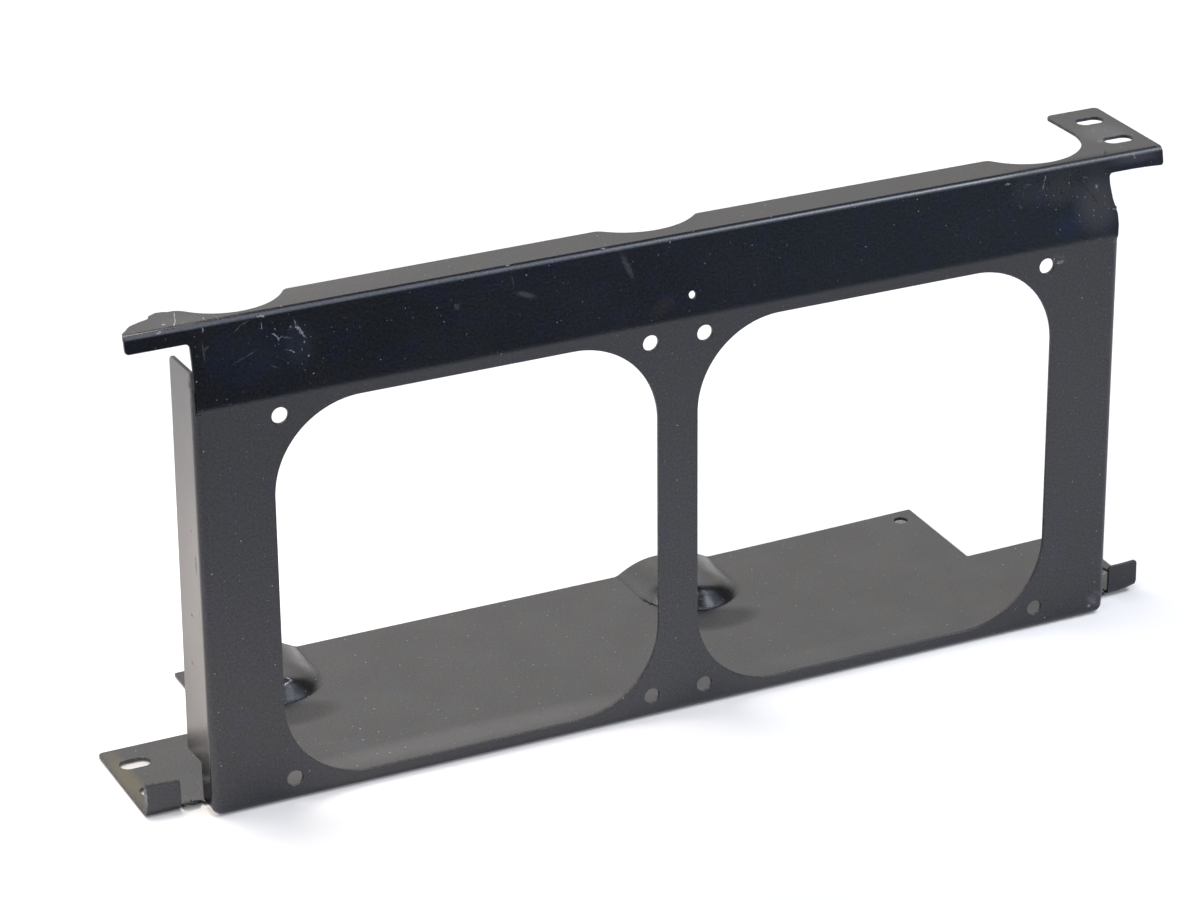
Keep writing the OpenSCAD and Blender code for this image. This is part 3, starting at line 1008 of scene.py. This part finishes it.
class ShaderTree:
    """A short way to write shader nodes: each call adds a node, sets its sockets and gives it back."""

    def __init__(self, tree: bpy.types.NodeTree) -> None:
        """Keeps the tree and clears it."""
        self.tree = tree
        tree.nodes.clear()

    def add(self, kind: str, settings: dict | None = None, **sockets: object) -> bpy.types.Node:
        """Adds a node.

        Args:
            kind: Blender's name of the node, without ShaderNode.
            settings: Properties of the node.
            **sockets: Values or output sockets for inputs, by name with underscores for
                spaces; a name that starts with i and a number means that input's place.

        Returns:
            The node.
        """
        node = self.tree.nodes.new("ShaderNode" + kind)
        for key, value in (settings or {}).items():
            setattr(node, key, value)
        for key, value in sockets.items():
            by_place = key[0] == "i" and key[1:].isdigit()
            socket = node.inputs[int(key[1:]) if by_place else key.replace("_", " ")]
            if isinstance(value, Socket):
                self.tree.links.new(value, socket)
            else:
                socket.default_value = value
        return node

    def math(self, operation: str, a: object, b: object = 0.0, c: object = 0.0) -> Socket:
        """One arithmetic step."""
        return self.add("Math", {"operation": operation}, i0=a, i1=b, i2=c).outputs[0]

    def times(self, a: object, b: object) -> Socket:
        """The product of two values."""
        return self.math("MULTIPLY", a, b)

    def larger(self, a: object, b: object) -> Socket:
        """The larger of two values."""
        return self.math("MAXIMUM", a, b)

    def vector(self, operation: str, a: object, b: object, c: object = (0.0, 0.0, 0.0)) -> Socket:
        """One step with vectors."""
        return self.add("VectorMath", {"operation": operation}, i0=a, i1=b, i2=c).outputs[0]

    def joined(self, x: object, y: object = 0.0, z: object = 0.0) -> Socket:
        """Three values as one vector."""
        return self.add("CombineXYZ", X=x, Y=y, Z=z).outputs[0]

    def split(self, vector: object) -> tuple[Socket, ...]:
        """The three values of a vector."""
        return tuple(self.add("SeparateXYZ", Vector=vector).outputs)

    def attribute(self, name: str, output: str = "Fac") -> Socket:
        """An attribute of the mesh."""
        return self.add("Attribute", {"attribute_name": name}).outputs[output]

    def noise(self, where: object, scale: float, detail: float, roughness: float = 0.5) -> Socket:
        """A cloudy pattern of values round a half."""
        return self.add("TexNoise", Vector=where, Scale=scale, Detail=detail, Roughness=roughness).outputs[0]

    def ramp(
        self, value: object, low: float, high: float, to_low: float = 0.0, to_high: float = 1.0
    ) -> Socket:
        """A smooth step from one level to another.

        Args:
            value: The value that leads.
            low: Where the step begins.
            high: Where it ends.
            to_low: Level before it.
            to_high: Level after it.

        Returns:
            The level.
        """
        node = self.add("MapRange", {"interpolation_type": "SMOOTHSTEP"}, Value=value, From_Min=low,
                        From_Max=high, To_Min=to_low, To_Max=to_high)
        return node.outputs[0]

    def reach(self, where: object, mark: Stroke | Tint) -> Socket:
        """Distance from a mark's centre, measured in the mark's half sizes.

        Args:
            where: The place.
            mark: The mark.

        Returns:
            A value that is 0 in the centre and 1 on the outline.
        """
        local = self.add("Mapping", {"vector_type": "TEXTURE"}, Vector=where, Location=(*mark.centre, 0.0),
                         Rotation=(0.0, 0.0, mark.angle), Scale=(*mark.half_sizes, 1.0))
        return self.add("VectorMath", {"operation": "LENGTH"}, i0=local.outputs[0]).outputs["Value"]

    def mix(self, amount: object, a: object, b: object) -> Socket:
        """A mix of two colours.

        Args:
            amount: Share of the second.
            a: The first.
            b: The second.

        Returns:
            The mixed colour.
        """
        node = self.add("Mix", {"data_type": "RGBA"}, i0=amount)
        for place, value in ((6, a), (7, b)):
            if isinstance(value, Socket):
                self.tree.links.new(value, node.inputs[place])
            else:
                node.inputs[place].default_value = (*value, 1.0)
        return node.outputs[2]

    def scaled(self, colour: object, amount: object) -> Socket:
        """A colour times a value."""
        return self.add("VectorMath", {"operation": "SCALE"}, i0=colour, Scale=amount).outputs[0]


@dataclass(frozen=True)
class Stroke:
    """A narrow mark on the blank, from one place to another; a round one where both are the same."""

    start: tuple[float, float]
    end: tuple[float, float]
    width: float

    @property
    def centre(self) -> tuple[float, float]:
        """The middle of the mark."""
        return (self.start[0] + self.end[0]) / 2, (self.start[1] + self.end[1]) / 2

    @property
    def angle(self) -> float:
        """The mark's direction in radians."""
        return math.atan2(self.end[1] - self.start[1], self.end[0] - self.start[0])

    @property
    def half_sizes(self) -> tuple[float, float]:
        """Half its length with its round ends, and half its width."""
        return math.dist(self.start, self.end) / 2 + self.width / 2, self.width / 2


def strokes(*rows: tuple[float, ...]) -> tuple[Stroke, ...]:
    """Strokes from rows of numbers.

    Args:
        *rows: Start, end and width, each place as two numbers; round ones leave the end out.

    Returns:
        The strokes.
    """
    return tuple(Stroke(row[:2], row[-3:-1], row[-1]) for row in rows)


@dataclass(frozen=True)
class Tint:
    """A soft patch that adds a little colour, turned by an angle in degrees."""

    centre: tuple[float, float]
    half_sizes: tuple[float, float]
    colour: Colour
    turn: float = 0.0

    @property
    def angle(self) -> float:
        """The turn in radians."""
        return math.radians(self.turn)


# Scrapes and chips down to the metal on the outer skin, and a painted highlight on the formed corner at the
# right foot.
BRIGHT_MARKS = strokes(
    # The worn edge of the left lip.
    (-152.1, -6.5, -152.1, -0.7, 0.8),
    # The splash of scrapes at the band's left end, with its tail of chips.
    (-106.5, 133.2, -106.3, 132.3, 0.35), (-107.7, 131.8, 0.4), (-106.1, 131.6, -105.0, 129.9, 0.9),
    (-105.2, 130.2, -104.3, 128.6, 0.6), (-104.5, 127.3, 0.5), (-105.4, 125.5, 0.5), (-103.8, 123.6, 0.4),
    (-105.9, 121.8, 0.4), (-103.1, 118.9, 0.4), (-112.7, 130.9, -111.8, 130.2, 0.45),
    (-111.8, 130.2, -111.3, 129.1, 0.4), (-111.3, 129.3, -110.4, 129.8, 0.3),
    (-108.4, 125.7, -107.5, 125.1, 0.4), (-115.4, 134.1, -115.4, 132.7, 0.3), (-116.0, 132.9, 0.35),
    (-134.3, 122.4, 0.45),
    # Along the top fold.
    (-142.9, 136.05, -141.9, 136.1, 0.4), (-131.0, 135.3, -131.0, 134.4, 0.35),
    (-116.0, 135.7, -114.3, 135.7, 0.5), (-46.5, 136.9, -45.8, 136.9, 0.35),
    (-19.6, 136.8, -18.4, 136.8, 0.35), (30.5, 137.0, 0.4), (142.5, 136.5, 142.7, 135.2, 0.4),
    # The flange and its left ear.
    (-137.0, 138.9, -136.0, 142.0, 0.3), (-136.0, 142.0, -135.0, 145.0, 0.3),
    (-137.9, 137.3, -137.0, 139.1, 0.35), (-129.6, 138.6, -129.6, 137.5, 0.35), (-140.2, 138.9, 0.9),
    # The band's right end, and the nick beside the top right screw hole.
    (101.6, 134.3, 102.9, 134.3, 0.35), (114.2, 134.7, 113.6, 133.0, 0.3),
    (113.6, 132.8, 113.1, 131.5, 0.3), (134.3, 122.2, 135.3, 121.9, 0.4), (129.9, 129.2, 0.9),
    (122.0, 133.8, 0.4), (117.4, 119.0, 0.4), (132.2, 126.1, 0.4), (115.3, 111.3, 115.2, 110.6, 0.5),
    (116.5, 110.15, 118.4, 110.05, 0.5), (116.2, 109.7, 117.8, 109.6, 0.4),
    # Across the band.
    (-66.0, 125.7, 0.4), (9.3, 128.2, 0.35), (66.6, 129.0, 0.4),
    # The painted highlight on the formed corner at the foot at the right.
    (131.3, 1.0, 0.9),
)

# Wide soft patches: fine chips fall in the first two, and the paint of the others is duller.
CHIPPED = strokes((-111.0, 130.0, -104.0, 124.0, 11.0), (114.0, 130.0, 131.0, 123.0, 13.0))
DULL_FOLD = Stroke((100.0, 136.0), (156.0, 136.0), 7.0)
NOSES = strokes((28.0, -43.5, 41.0, -43.5, 14.0), (-102.3, -43.5, -89.3, -43.5, 14.0))

# Light scuffs on the outer skin, and two strokes of painted highlight on the formed corner at the right foot.
FAINT_MARKS = strokes(
    (-108.8, 131.1, -107.0, 131.4, 0.35), (-110.0, 126.4, -108.4, 125.7, 0.3),
    (-110.4, 129.6, -108.0, 129.0, 0.6), (-131.5, 131.4, -131.5, 127.3, 0.6),
    (-131.5, 129.5, -130.2, 130.6, 0.35), (-123.0, 132.9, -121.0, 134.4, 0.4),
    (-121.0, 134.4, -119.0, 135.2, 0.4), (-123.8, 125.2, -120.2, 126.4, 0.35),
    (-120.2, 126.4, -117.5, 127.5, 0.35), (-114.3, 123.0, -112.5, 122.0, 0.4), (-111.1, 123.9, 0.4),
    (-105.3, 120.1, 0.5), (-135.6, 135.8, -133.4, 135.8, 0.5), (-126.3, 138.6, -126.3, 136.8, 0.5),
    (-135.6, 137.7, -134.5, 138.6, 0.9), (-132.5, 139.5, 0.8), (-147.0, 136.5, 0.6),
    (-48.0, 143.0, -45.7, 137.3, 0.3), (-46.0, 134.5, -45.4, 131.0, 0.3), (-14.0, 134.0, -12.0, 128.5, 1.6),
    (-44.5, 129.5, -40.5, 128.0, 1.5), (-62.0, 129.0, 1.6), (-80.3, 128.6, 0.6), (-31.5, 130.0, 0.6),
    (17.5, 132.5, 0.6), (34.0, 129.0, 0.6), (57.6, 124.4, 0.6), (107.4, 132.5, 108.1, 133.1, 0.4),
    (108.1, 133.1, 109.5, 133.1, 0.4), (105.3, 127.9, 105.9, 127.1, 0.6), (125.8, 132.6, 127.2, 132.0, 0.5),
    (116.1, 118.6, 116.6, 117.9, 0.4), (132.2, 124.4, 132.2, 123.6, 0.4), (129.9, 124.3, 0.5),
    (128.1, 113.6, 128.9, 113.6, 0.5), (125.6, 114.5, 0.5), (150.4, 137.2, 151.4, 136.2, 0.8),
    (108.8, 136.9, 109.6, 136.9, 0.4), (112.0, 136.9, 113.0, 136.9, 0.4), (115.2, 112.2, 118.6, 110.9, 1.2),
    # The first two strokes here are painted highlight on the formed corner at the panel's right foot.
    (133.0, 5.4, 134.6, 4.2, 1.3), (131.0, 3.6, 133.8, 1.2, 1.6), (-137.8, 52.0, -137.6, 60.0, 0.4),
)

# Dark dents and scratches on the outer skin.
GROOVES = strokes(
    (114.5, 133.6, 115.6, 130.6, 0.35), (105.4, 131.1, 106.3, 128.1, 0.35),
    (117.6, 130.6, 120.4, 127.7, 0.35), (124.0, 132.5, 127.6, 127.9, 0.4),
    (127.6, 127.9, 130.1, 124.3, 0.4), (124.2, 135.6, 125.1, 134.3, 0.4),
    (121.7, 132.0, 122.6, 129.5, 0.35), (104.2, 139.7, 103.5, 137.5, 0.4),
    (135.8, 139.7, 134.5, 137.5, 0.9), (87.0, 143.8, 0.6), (111.8, 135.3, 0.6),
    # Smudges on the left side flange.
    (-138.6, 72.5, -138.6, 68.5, 1.0), (-143.5, 54.0, 1.2), (-145.0, 39.2, 1.0), (-140.9, 79.0, 0.9),
)

# Marks on the inner skin, which is the shelf's upper side.
SHELF_MARKS = strokes(
    # A bright mark behind the left hump's nose, the specks of the shelf, and a small bright mark on the other
    # hump.
    (-95.0, -54.0, -92.4, -55.3, 0.5), (-92.4, -55.6, -93.3, -56.8, 0.5), (-85.0, -21.5, 0.6),
    (-79.5, -24.0, 0.5), (-84.7, -30.0, 0.5), (-76.5, -12.5, 0.5), (-81.3, -11.5, 0.5),
    (34.4, -54.6, 35.4, -54.4, 0.35), (32.2, -53.8, 0.35),
    # The left ear.
    (-141.5, -18.0, 0.6), (-143.2, -20.5, 0.4), (-139.6, -13.5, 0.4), (-146.0, -8.5, 0.5),
)

# Patches of dust and wear on the two skins, and patches of painted reflection that lighten the paint where
# more light is to show.
OUTER_TINTS = (
    Tint((-119.0, 125.5), (16.0, 8.5), (0.000, 0.002, 0.007)),
    Tint((-106.0, 127.0), (5.0, 7.0), (0.006, 0.008, 0.012)),
    Tint((-135.5, 139.5), (8.0, 3.5), (0.008, 0.008, 0.008)),
    Tint((130.0, 124.5), (8.5, 10.0), (0.036, 0.033, 0.031)),
    Tint((118.0, 130.0), (8.0, 5.0), (0.018, 0.016, 0.014)),
    Tint((108.0, 131.0), (6.0, 4.5), (0.010, 0.010, 0.011)),
    Tint((121.0, 120.5), (6.0, 4.5), (0.000, 0.003, 0.012)),
    Tint((143.0, 135.0), (9.0, 1.6), (0.026, 0.024, 0.028)),
    Tint((138.5, 146.8), (1.6, 1.0), (0.075, 0.068, 0.055), 20.0),
    # The next two patches are painted reflection: they lighten the right upper ear and the left half of the
    # flange.
    Tint((142.5, 152.0), (8.0, 9.0), (0.040, 0.038, 0.037)),
    Tint((-100.0, 165.0), (45.0, 28.0), (0.018, 0.015, 0.016)),
    Tint((-4.0, 119.0), (5.5, 2.5), (0.010, 0.006, 0.003), 30.0),
    Tint((118.5, 20.0), (3.5, 7.0), (0.004, 0.001, 0.012)),
    Tint((133.0, 16.5), (1.8, 4.5), (0.005, 0.001, 0.012)),
    Tint((114.5, 1.0), (2.2, 1.6), (0.006, 0.003, 0.014)),
    # A painted highlight on the formed corner at the panel's right foot.
    Tint((132.5, 2.5), (2.6, 2.6), (0.030, 0.027, 0.036)),
    Tint((-139.0, 95.0), (1.6, 26.0), (0.012, 0.010, 0.006)),
)

INNER_TINTS = (
    Tint((-149.8, -28.0), (3.4, 24.0), (0.036, 0.027, 0.004)),
    Tint((-139.5, -11.0), (5.0, 3.0), (0.012, 0.010, 0.006)),
    Tint((-95.0, -24.5), (3.2, 1.2), (0.020, 0.008, 0.001), 10.0),
    Tint((-89.5, -23.0), (2.0, 1.2), (0.014, 0.006, 0.006)),
    Tint((42.2, -60.0), (2.6, 0.8), (0.030, 0.014, 0.006), -58.0),
    # The next two patches are painted reflection: they lighten the shelf's strip just behind the panel.
    Tint((-60.0, -12.0), (70.0, 6.0), (0.030, 0.028, 0.027)),
    Tint((62.0, -12.0), (45.0, 5.0), (0.010, 0.010, 0.009)),
)


@dataclass(frozen=True)
class BlackPaint:
    """Satin black paint on sheet steel, mottled and dusty, with the scrapes of use, a painted highlight at
    the right foot and patches of painted reflection.
    """

    slot: str = "black_paint"
    colour: Colour = (0.0005, 0.0005, 0.0012)
    scraped_and_highlight: Colour = (0.44, 0.44, 0.46)
    grimy: Colour = (0.004, 0.003, 0.003)
    bright_share: float = 0.72
    faint_share: float = 0.11
    speck_share: float = 0.5
    edge_share: float = 0.12
    wall_share: float = 0.5
    roughness: float = 0.24
    mark_roughness: float = 0.22
    dull_roughness: float = 0.13
    groove_gloss_loss: float = 0.3
    foot_gloss_loss: float = 0.36
    ior: float = 1.65

    @staticmethod
    def nearest(t: ShaderTree, where: object, marks: tuple[Stroke, ...]) -> Socket:
        """The least distance to any of the marks, each measured in its own half sizes.

        Args:
            t: The tree.
            where: Place on the blank.
            marks: The marks.

        Returns:
            A value that is 1 on the outline of the nearest mark and 0 in its middle.
        """
        least: object = 9.0
        for mark in marks:
            least = t.math("MINIMUM", t.reach(where, mark), least)
        return least

    @staticmethod
    def patch(t: ShaderTree, where: object, stroke: Stroke) -> Socket:
        """A soft patch round a wide stroke, 1 in its middle and 0 outside it."""
        return t.ramp(t.reach(where, stroke), 1.1, 0.5)

    @staticmethod
    def tinted(
        t: ShaderTree, colour: object, where: object, tints: tuple[Tint, ...], amount: object
    ) -> Socket:
        """Adds soft patches to a colour.

        Args:
            t: The tree.
            colour: The colour so far.
            where: Place on the blank.
            tints: The patches.
            amount: How much of them shows, from 0 to 1.

        Returns:
            The colour with the patches.
        """
        for tint in tints:
            share = t.times(t.ramp(t.reach(where, tint), 1.15, 0.3), amount)
            colour = t.vector("MULTIPLY_ADD", tint.colour, t.joined(share, share, share), colour)
        return colour

    @staticmethod
    def dust(t: ShaderTree, where: object, per_mm: float, largest: float) -> Socket:
        """Small round specks of chance sizes, at most one in each cell of a Voronoi pattern.

        Args:
            t: The tree.
            where: Place on the blank.
            per_mm: Cells in a millimetre.
            largest: Radius of the largest speck.

        Returns:
            1 in a speck and 0 outside.
        """
        cells = t.add("TexVoronoi", {"voronoi_dimensions": "2D", "feature": "F1"}, Vector=where, Scale=per_mm)
        chance = t.split(cells.outputs["Color"])[0]
        radius = t.times(t.math("SUBTRACT", chance, 0.4), largest / 0.6)
        within = t.math("SUBTRACT", radius, t.math("DIVIDE", cells.outputs["Distance"], per_mm))
        return t.ramp(within, 0.0, 0.07)

    def material(self) -> bpy.types.Material:
        """Builds the material.

        Returns:
            The new material.
        """
        material = bpy.data.materials.new(self.slot)
        material.use_nodes = True
        t = ShaderTree(material.node_tree)
        flat = t.attribute("blank_mm", "Vector")
        inner_side, wall, from_edge = (t.attribute(name) for name in ("inner_side", "cut_wall", "edge_mm"))
        inner = t.ramp(inner_side, 0.3, 0.7)
        outer = t.math("SUBTRACT", 1.0, inner)

        # Fine unevenness breaks up the outlines of all marks.
        wobble = t.add("TexNoise", Vector=flat, Scale=1.3, Detail=2.0).outputs["Color"]
        wobble = t.vector("SUBTRACT", wobble, (0.5, 0.5, 0.5))
        marked = t.vector("MULTIPLY_ADD", wobble, (0.7, 0.7, 0.0), flat)
        grain = t.noise(flat, 1.6, 3.0, 0.6)
        cloud = t.noise(flat, 0.045, 4.0, 0.6)
        peel = t.noise(flat, 1.1, 2.0)
        fine = t.noise(flat, 3.2, 3.0, 0.7)
        ragged = t.math("MULTIPLY_ADD", t.math("SUBTRACT", grain, 0.5), 1.8,
                        t.times(t.math("SUBTRACT", fine, 0.5), 2.6))
        cover = t.ramp(t.noise(flat, 1.9, 2.0), 0.4, 0.58, 0.3, 1.0)

        # The renderer can keep few values at a time, so each group of marks is made to wait for
        # the one before it: its place is shifted by next to nothing where that one shows.
        masks = []
        groups = ((BRIGHT_MARKS, outer), (FAINT_MARKS, outer), (GROOVES, outer), (SHELF_MARKS, inner))
        for marks, side in groups:
            reach = t.math("ADD", self.nearest(t, marked, marks), ragged)
            masks.append(t.times(t.ramp(reach, 1.25, 0.35), t.times(side, cover)))
            marked = t.vector("MULTIPLY_ADD", t.joined(masks[-1]), (1e-5, 0.0, 0.0), marked)
        bright, faint, groove, on_shelf = masks
        specks = t.larger(self.dust(t, flat, 0.12, 0.25), self.dust(t, flat, 0.27, 0.15))
        chips = t.times(self.dust(t, flat, 0.42, 0.24), outer)
        chipped = t.larger(*(self.patch(t, marked, place) for place in CHIPPED))
        specks = t.larger(specks, t.times(chips, chipped))
        worn_edge = t.times(t.ramp(from_edge, 0.3, 0.05), t.ramp(grain, 0.5, 0.72))

        mottle = t.math("MULTIPLY_ADD", t.ramp(grain, 0.32, 0.68), 0.009, t.times(cloud, 0.002))
        haze = t.ramp(t.noise(flat, 0.13, 3.0), 0.5, 0.66)
        bluer = t.math("MULTIPLY_ADD", haze, 0.006, mottle)
        colour = t.vector("ADD", self.colour, t.joined(mottle, mottle, bluer))
        colour = self.tinted(t, colour, marked, OUTER_TINTS, outer)
        colour = self.tinted(t, colour, marked, INNER_TINTS, inner)
        colour = t.mix(t.times(faint, self.faint_share), colour, self.scraped_and_highlight)
        colour = t.mix(t.times(t.larger(bright, on_shelf), self.bright_share), colour, self.scraped_and_highlight)
        colour = t.mix(t.times(specks, self.speck_share), colour, self.scraped_and_highlight)
        colour = t.mix(t.times(worn_edge, self.edge_share), colour, self.scraped_and_highlight)
        colour = t.mix(t.larger(groove, t.times(wall, self.wall_share)), colour, self.grimy)

        any_mark = t.larger(t.larger(bright, faint), t.larger(groove, on_shelf))
        rough = t.ramp(cloud, 0.3, 0.7, self.roughness - 0.02, self.roughness + 0.03)
        rough = t.math("MULTIPLY_ADD", t.larger(any_mark, wall), self.mark_roughness, rough)
        noses = t.times(t.larger(*(self.patch(t, flat, nose) for nose in NOSES)), 1.5)
        dull = t.larger(t.times(noses, inner), t.times(self.patch(t, flat, DULL_FOLD), outer))
        rough = t.math("MULTIPLY_ADD", dull, self.dull_roughness, rough)
        # The paint in the grooves, and the left side flange's foot, have lost part of their gloss.
        u, s, _ = t.split(flat)
        foot = t.times(t.ramp(u, -136.2, -136.8), t.ramp(s, 15.0, 9.0))
        x, y, z = t.split(t.add("TexCoord").outputs["Object"])
        behind = t.times(t.ramp(y, -0.0391, -0.0384), t.ramp(z, 0.0015, 0.0023))
        foot = t.times(foot, t.times(behind, t.ramp(x, -0.1392, -0.1384)))
        gloss_loss = t.larger(t.times(groove, self.groove_gloss_loss), t.times(foot, self.foot_gloss_loss))
        gloss = t.math("SUBTRACT", t.math("MULTIPLY_ADD", grain, 0.5, 0.25), gloss_loss)
        bump = t.add("Bump", Height=peel, Strength=0.12, Distance=0.00004)
        shader = t.add("BsdfPrincipled", Base_Color=colour, Roughness=rough, IOR=self.ior,
                       Specular_IOR_Level=gloss, Normal=bump.outputs[0])
        t.add("OutputMaterial", Surface=shader.outputs[0])
        return material


@dataclass(frozen=True)
class AreaLamp:
    """A square or oblong lamp that shines one way."""

    name: str
    place: tuple[float, float, float]
    aim: tuple[float, float, float]
    size: tuple[float, float]
    watts: float
    colour: Colour
    spread: float

    def build(self) -> bpy.types.Object:
        """Adds the lamp, turned from its place towards its aim.

        Returns:
            The lamp object.
        """
        data = bpy.data.lights.new(self.name, "AREA")
        data.shape = "RECTANGLE"
        data.size, data.size_y = self.size
        data.energy = self.watts
        data.color = self.colour
        data.spread = math.radians(self.spread)
        lamp = linked(self.name, data)
        lamp.location = self.place
        away = Vector(self.place) - Vector(self.aim)
        lamp.rotation_euler = away.to_track_quat("Z", "Y").to_euler()
        return lamp


@dataclass(frozen=True)
class Studio:
    """A white table in a dark bluish room, with a white wall behind it and soft boxes above."""

    table_x: tuple[float, float] = (-1.5, 1.9)
    table_y: tuple[float, float] = (-0.45, 2.2)
    table_z: float = -0.0003
    wall: Colour = (1.19, 1.16, 1.135)
    soft_box: Colour = (1.68, 1.86, 2.32)
    left_box: Colour = (2.0, 1.97, 1.97)
    room_left: Colour = (0.04, 0.043, 0.057)
    room_right: Colour = (0.27, 0.37, 0.52)
    room_corner: Colour = (0.10, 0.095, 0.08)
    lamps: tuple[AreaLamp, ...] = (
        AreaLamp("rear_lamp", place=(-0.165, 0.07, 0.34), aim=(-0.165, 0.07, 0.0), size=(0.16, 0.16),
                 watts=0.31, colour=(1.0, 0.9, 0.82), spread=80),
        AreaLamp("front_lamp", place=(0.62, -0.42, 0.95), aim=(0.1, -0.04, 0.13), size=(0.36, 0.3),
                 watts=1.75, colour=(0.9, 0.94, 1.0), spread=150),
    )

    def table(self) -> bpy.types.Object:
        """A white table top that fills the view and ends a little way in front of the plate.

        Returns:
            The table top, which the part's files leave out.
        """
        (x0, x1), (y0, y1) = self.table_x, self.table_y
        corners = [(x, y, self.table_z) for x, y in ((x0, y0), (x1, y0), (x1, y1), (x0, y1))]
        mesh = bpy.data.meshes.new("table_top")
        mesh.from_pydata(corners, [], [(0, 1, 2, 3)])
        obj = linked("table_top", mesh)
        material = bpy.data.materials.new("white_table")
        material.use_nodes = True
        t = ShaderTree(material.node_tree)
        to_eye = t.add("LightPath").outputs["Is Camera Ray"]
        x, y, _ = t.split(t.add("TexCoord").outputs["Object"])
        # Seen by the camera the table is plain white. Its left part gets more light, so it is less
        # white there, and a painted shadow makes it darker under the lower ears, where their slots show it.
        left = t.times(t.ramp(x, 0.12, -0.06), t.ramp(y, 0.5, 0.15))
        seen = t.math("SUBTRACT", 0.95, t.times(left, 0.2))
        under = t.times(t.ramp(t.math("ABSOLUTE", x), 0.1515, 0.149), t.ramp(y, -0.0328, -0.0305))
        under = t.times(under, t.ramp(y, 0.0056, 0.003))
        seen = t.times(seen, t.ramp(under, 0.0, 1.0, 1.0, 0.6))
        # Seen in the paint it carries painted light and shade: a painted shade makes it a little darker
        # close to the plate, and it is darker far in front of it and lighter towards the right.
        shown = t.times(t.ramp(y, -0.14, -0.28, 0.84, 0.73), t.ramp(y, -0.06, -0.042, 1.0, 0.87))
        right = t.times(t.ramp(x, -0.06, 0.02, 1.0, 1.16), t.ramp(x, 0.06, 0.13, 1.0, 0.93))
        shown = t.times(shown, right)
        shown = t.larger(shown, t.ramp(y, -0.035, 0.01, 0.0, 0.93))
        level = t.add("Mix", i0=to_eye, i2=shown, i3=seen).outputs[0]
        in_paint = t.mix(t.ramp(y, -0.035, 0.01), (0.985, 0.98, 1.0), (1.0, 0.97, 0.94))
        colour = t.mix(to_eye, in_paint, (1.0, 0.98, 0.945))
        lit = t.add("BsdfDiffuse", Color=t.scaled(colour, level))
        white = t.add("Emission", Color=(1.0, 1.0, 1.0, 1.0), Strength=t.times(to_eye, 0.12))
        t.add("OutputMaterial", Surface=t.add("AddShader", i0=lit.outputs[0], i1=white.outputs[0]).outputs[0])
        mesh.materials.append(material)
        return obj

    def light(self) -> None:
        """The light of the room by direction, and the lamps.

        The wall shows backwards, brighter higher up and to the left, as far as steep
        directions. The soft box shows forwards from steep to middling ones, and the left
        box shows steeply at the left. The ceiling between them and the horizon in front stay
        dark. The camera itself sees plain white in place of all this.
        """
        world = bpy.data.worlds.new("studio")
        bpy.context.scene.world = world
        world.use_nodes = True
        t = ShaderTree(world.node_tree)
        right, back, up = t.split(t.add("TexCoord").outputs["Generated"])
        wall = t.times(t.ramp(back, 0.35, 0.65), t.ramp(up, 0.72, 0.55))
        wall_level = t.times(t.ramp(up, 0.28, 0.52, 0.62, 1.2), t.ramp(right, 0.2, 0.55, 1.06, 0.88))
        wall_colour = t.scaled(self.wall, wall_level)
        box = t.times(t.ramp(back, 0.08, -0.1), t.ramp(up, 0.25, 0.65))
        aside = t.math("ABSOLUTE", t.math("SUBTRACT", right, 0.36))
        box = t.times(box, t.ramp(aside, 0.46, 0.24))
        room = t.mix(t.ramp(right, 0.25, 0.6), self.room_left, self.room_right)
        room = t.mix(t.times(t.ramp(right, 0.5, 0.66), t.ramp(up, 0.0, 0.2)), room, self.room_corner)
        left_box = t.times(t.ramp(right, -0.1, -0.4), t.ramp(up, 0.3, 0.6))
        colour = t.mix(box, t.mix(wall, room, wall_colour), self.soft_box)
        colour = t.mix(left_box, colour, self.left_box)
        to_eye = t.add("LightPath").outputs["Is Camera Ray"]
        colour = t.mix(to_eye, colour, (1.0, 1.0, 1.0))
        t.add("OutputWorld", Surface=t.add("Background", Color=colour, Strength=1.0).outputs[0])
        for lamp in self.lamps:
            lamp.build()


@dataclass(frozen=True)
class PhotoCamera:
    """The camera of the photograph, from a fit to the eight screw holes and the folds."""

    azimuth: float = -25.180
    elevation: float = 24.607
    roll: float = -0.512
    focal_px: float = 4340.2
    photo_px: float = 1200.0
    sensor_mm: float = 36.0
    clip_end: float = 50.0
    place: tuple[float, float, float] = (-0.46825, -0.98722, 0.56272)

    def build(self) -> bpy.types.Object:
        """Adds the camera and makes it the scene's.

        The camera looks against the direction given by azimuth and elevation, and rolls
        about it.

        Returns:
            The camera object.
        """
        az, el, ro = (math.radians(a) for a in (self.azimuth, self.elevation, self.roll))
        back = Vector((math.sin(az) * math.cos(el), -math.cos(az) * math.cos(el), math.sin(el)))
        right = (-back).cross(Vector((0, 0, 1))).normalized()
        up = right.cross(-back)
        across = math.cos(ro) * right + math.sin(ro) * up
        upright = -math.sin(ro) * right + math.cos(ro) * up
        data = bpy.data.cameras.new("camera")
        data.sensor_width = self.sensor_mm
        data.sensor_fit = "HORIZONTAL"
        data.lens = self.focal_px / self.photo_px * self.sensor_mm
        data.clip_end = self.clip_end
        obj = linked("camera", data)
        turn = Matrix((across, upright, back)).transposed().to_4x4()
        obj.matrix_world = Matrix.Translation(self.place) @ turn
        bpy.context.scene.camera = obj
        return obj


def main() -> None:
    """Loads the frame, builds the plate, the studio and the camera."""
    logging.basicConfig(level=logging.INFO, format="%(message)s")
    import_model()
    bpy.context.scene.view_settings.view_transform = "Standard"
    PhotoCamera().build()
    paint = BlackPaint()
    plate = MountingPlate().build("painted_plate")
    plate.data.materials.append(paint.material())
    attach(plate, "root")
    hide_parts("mounting_plate")
    studio = Studio()
    studio.table()
    studio.light()


if __name__ == "__main__":
    main()
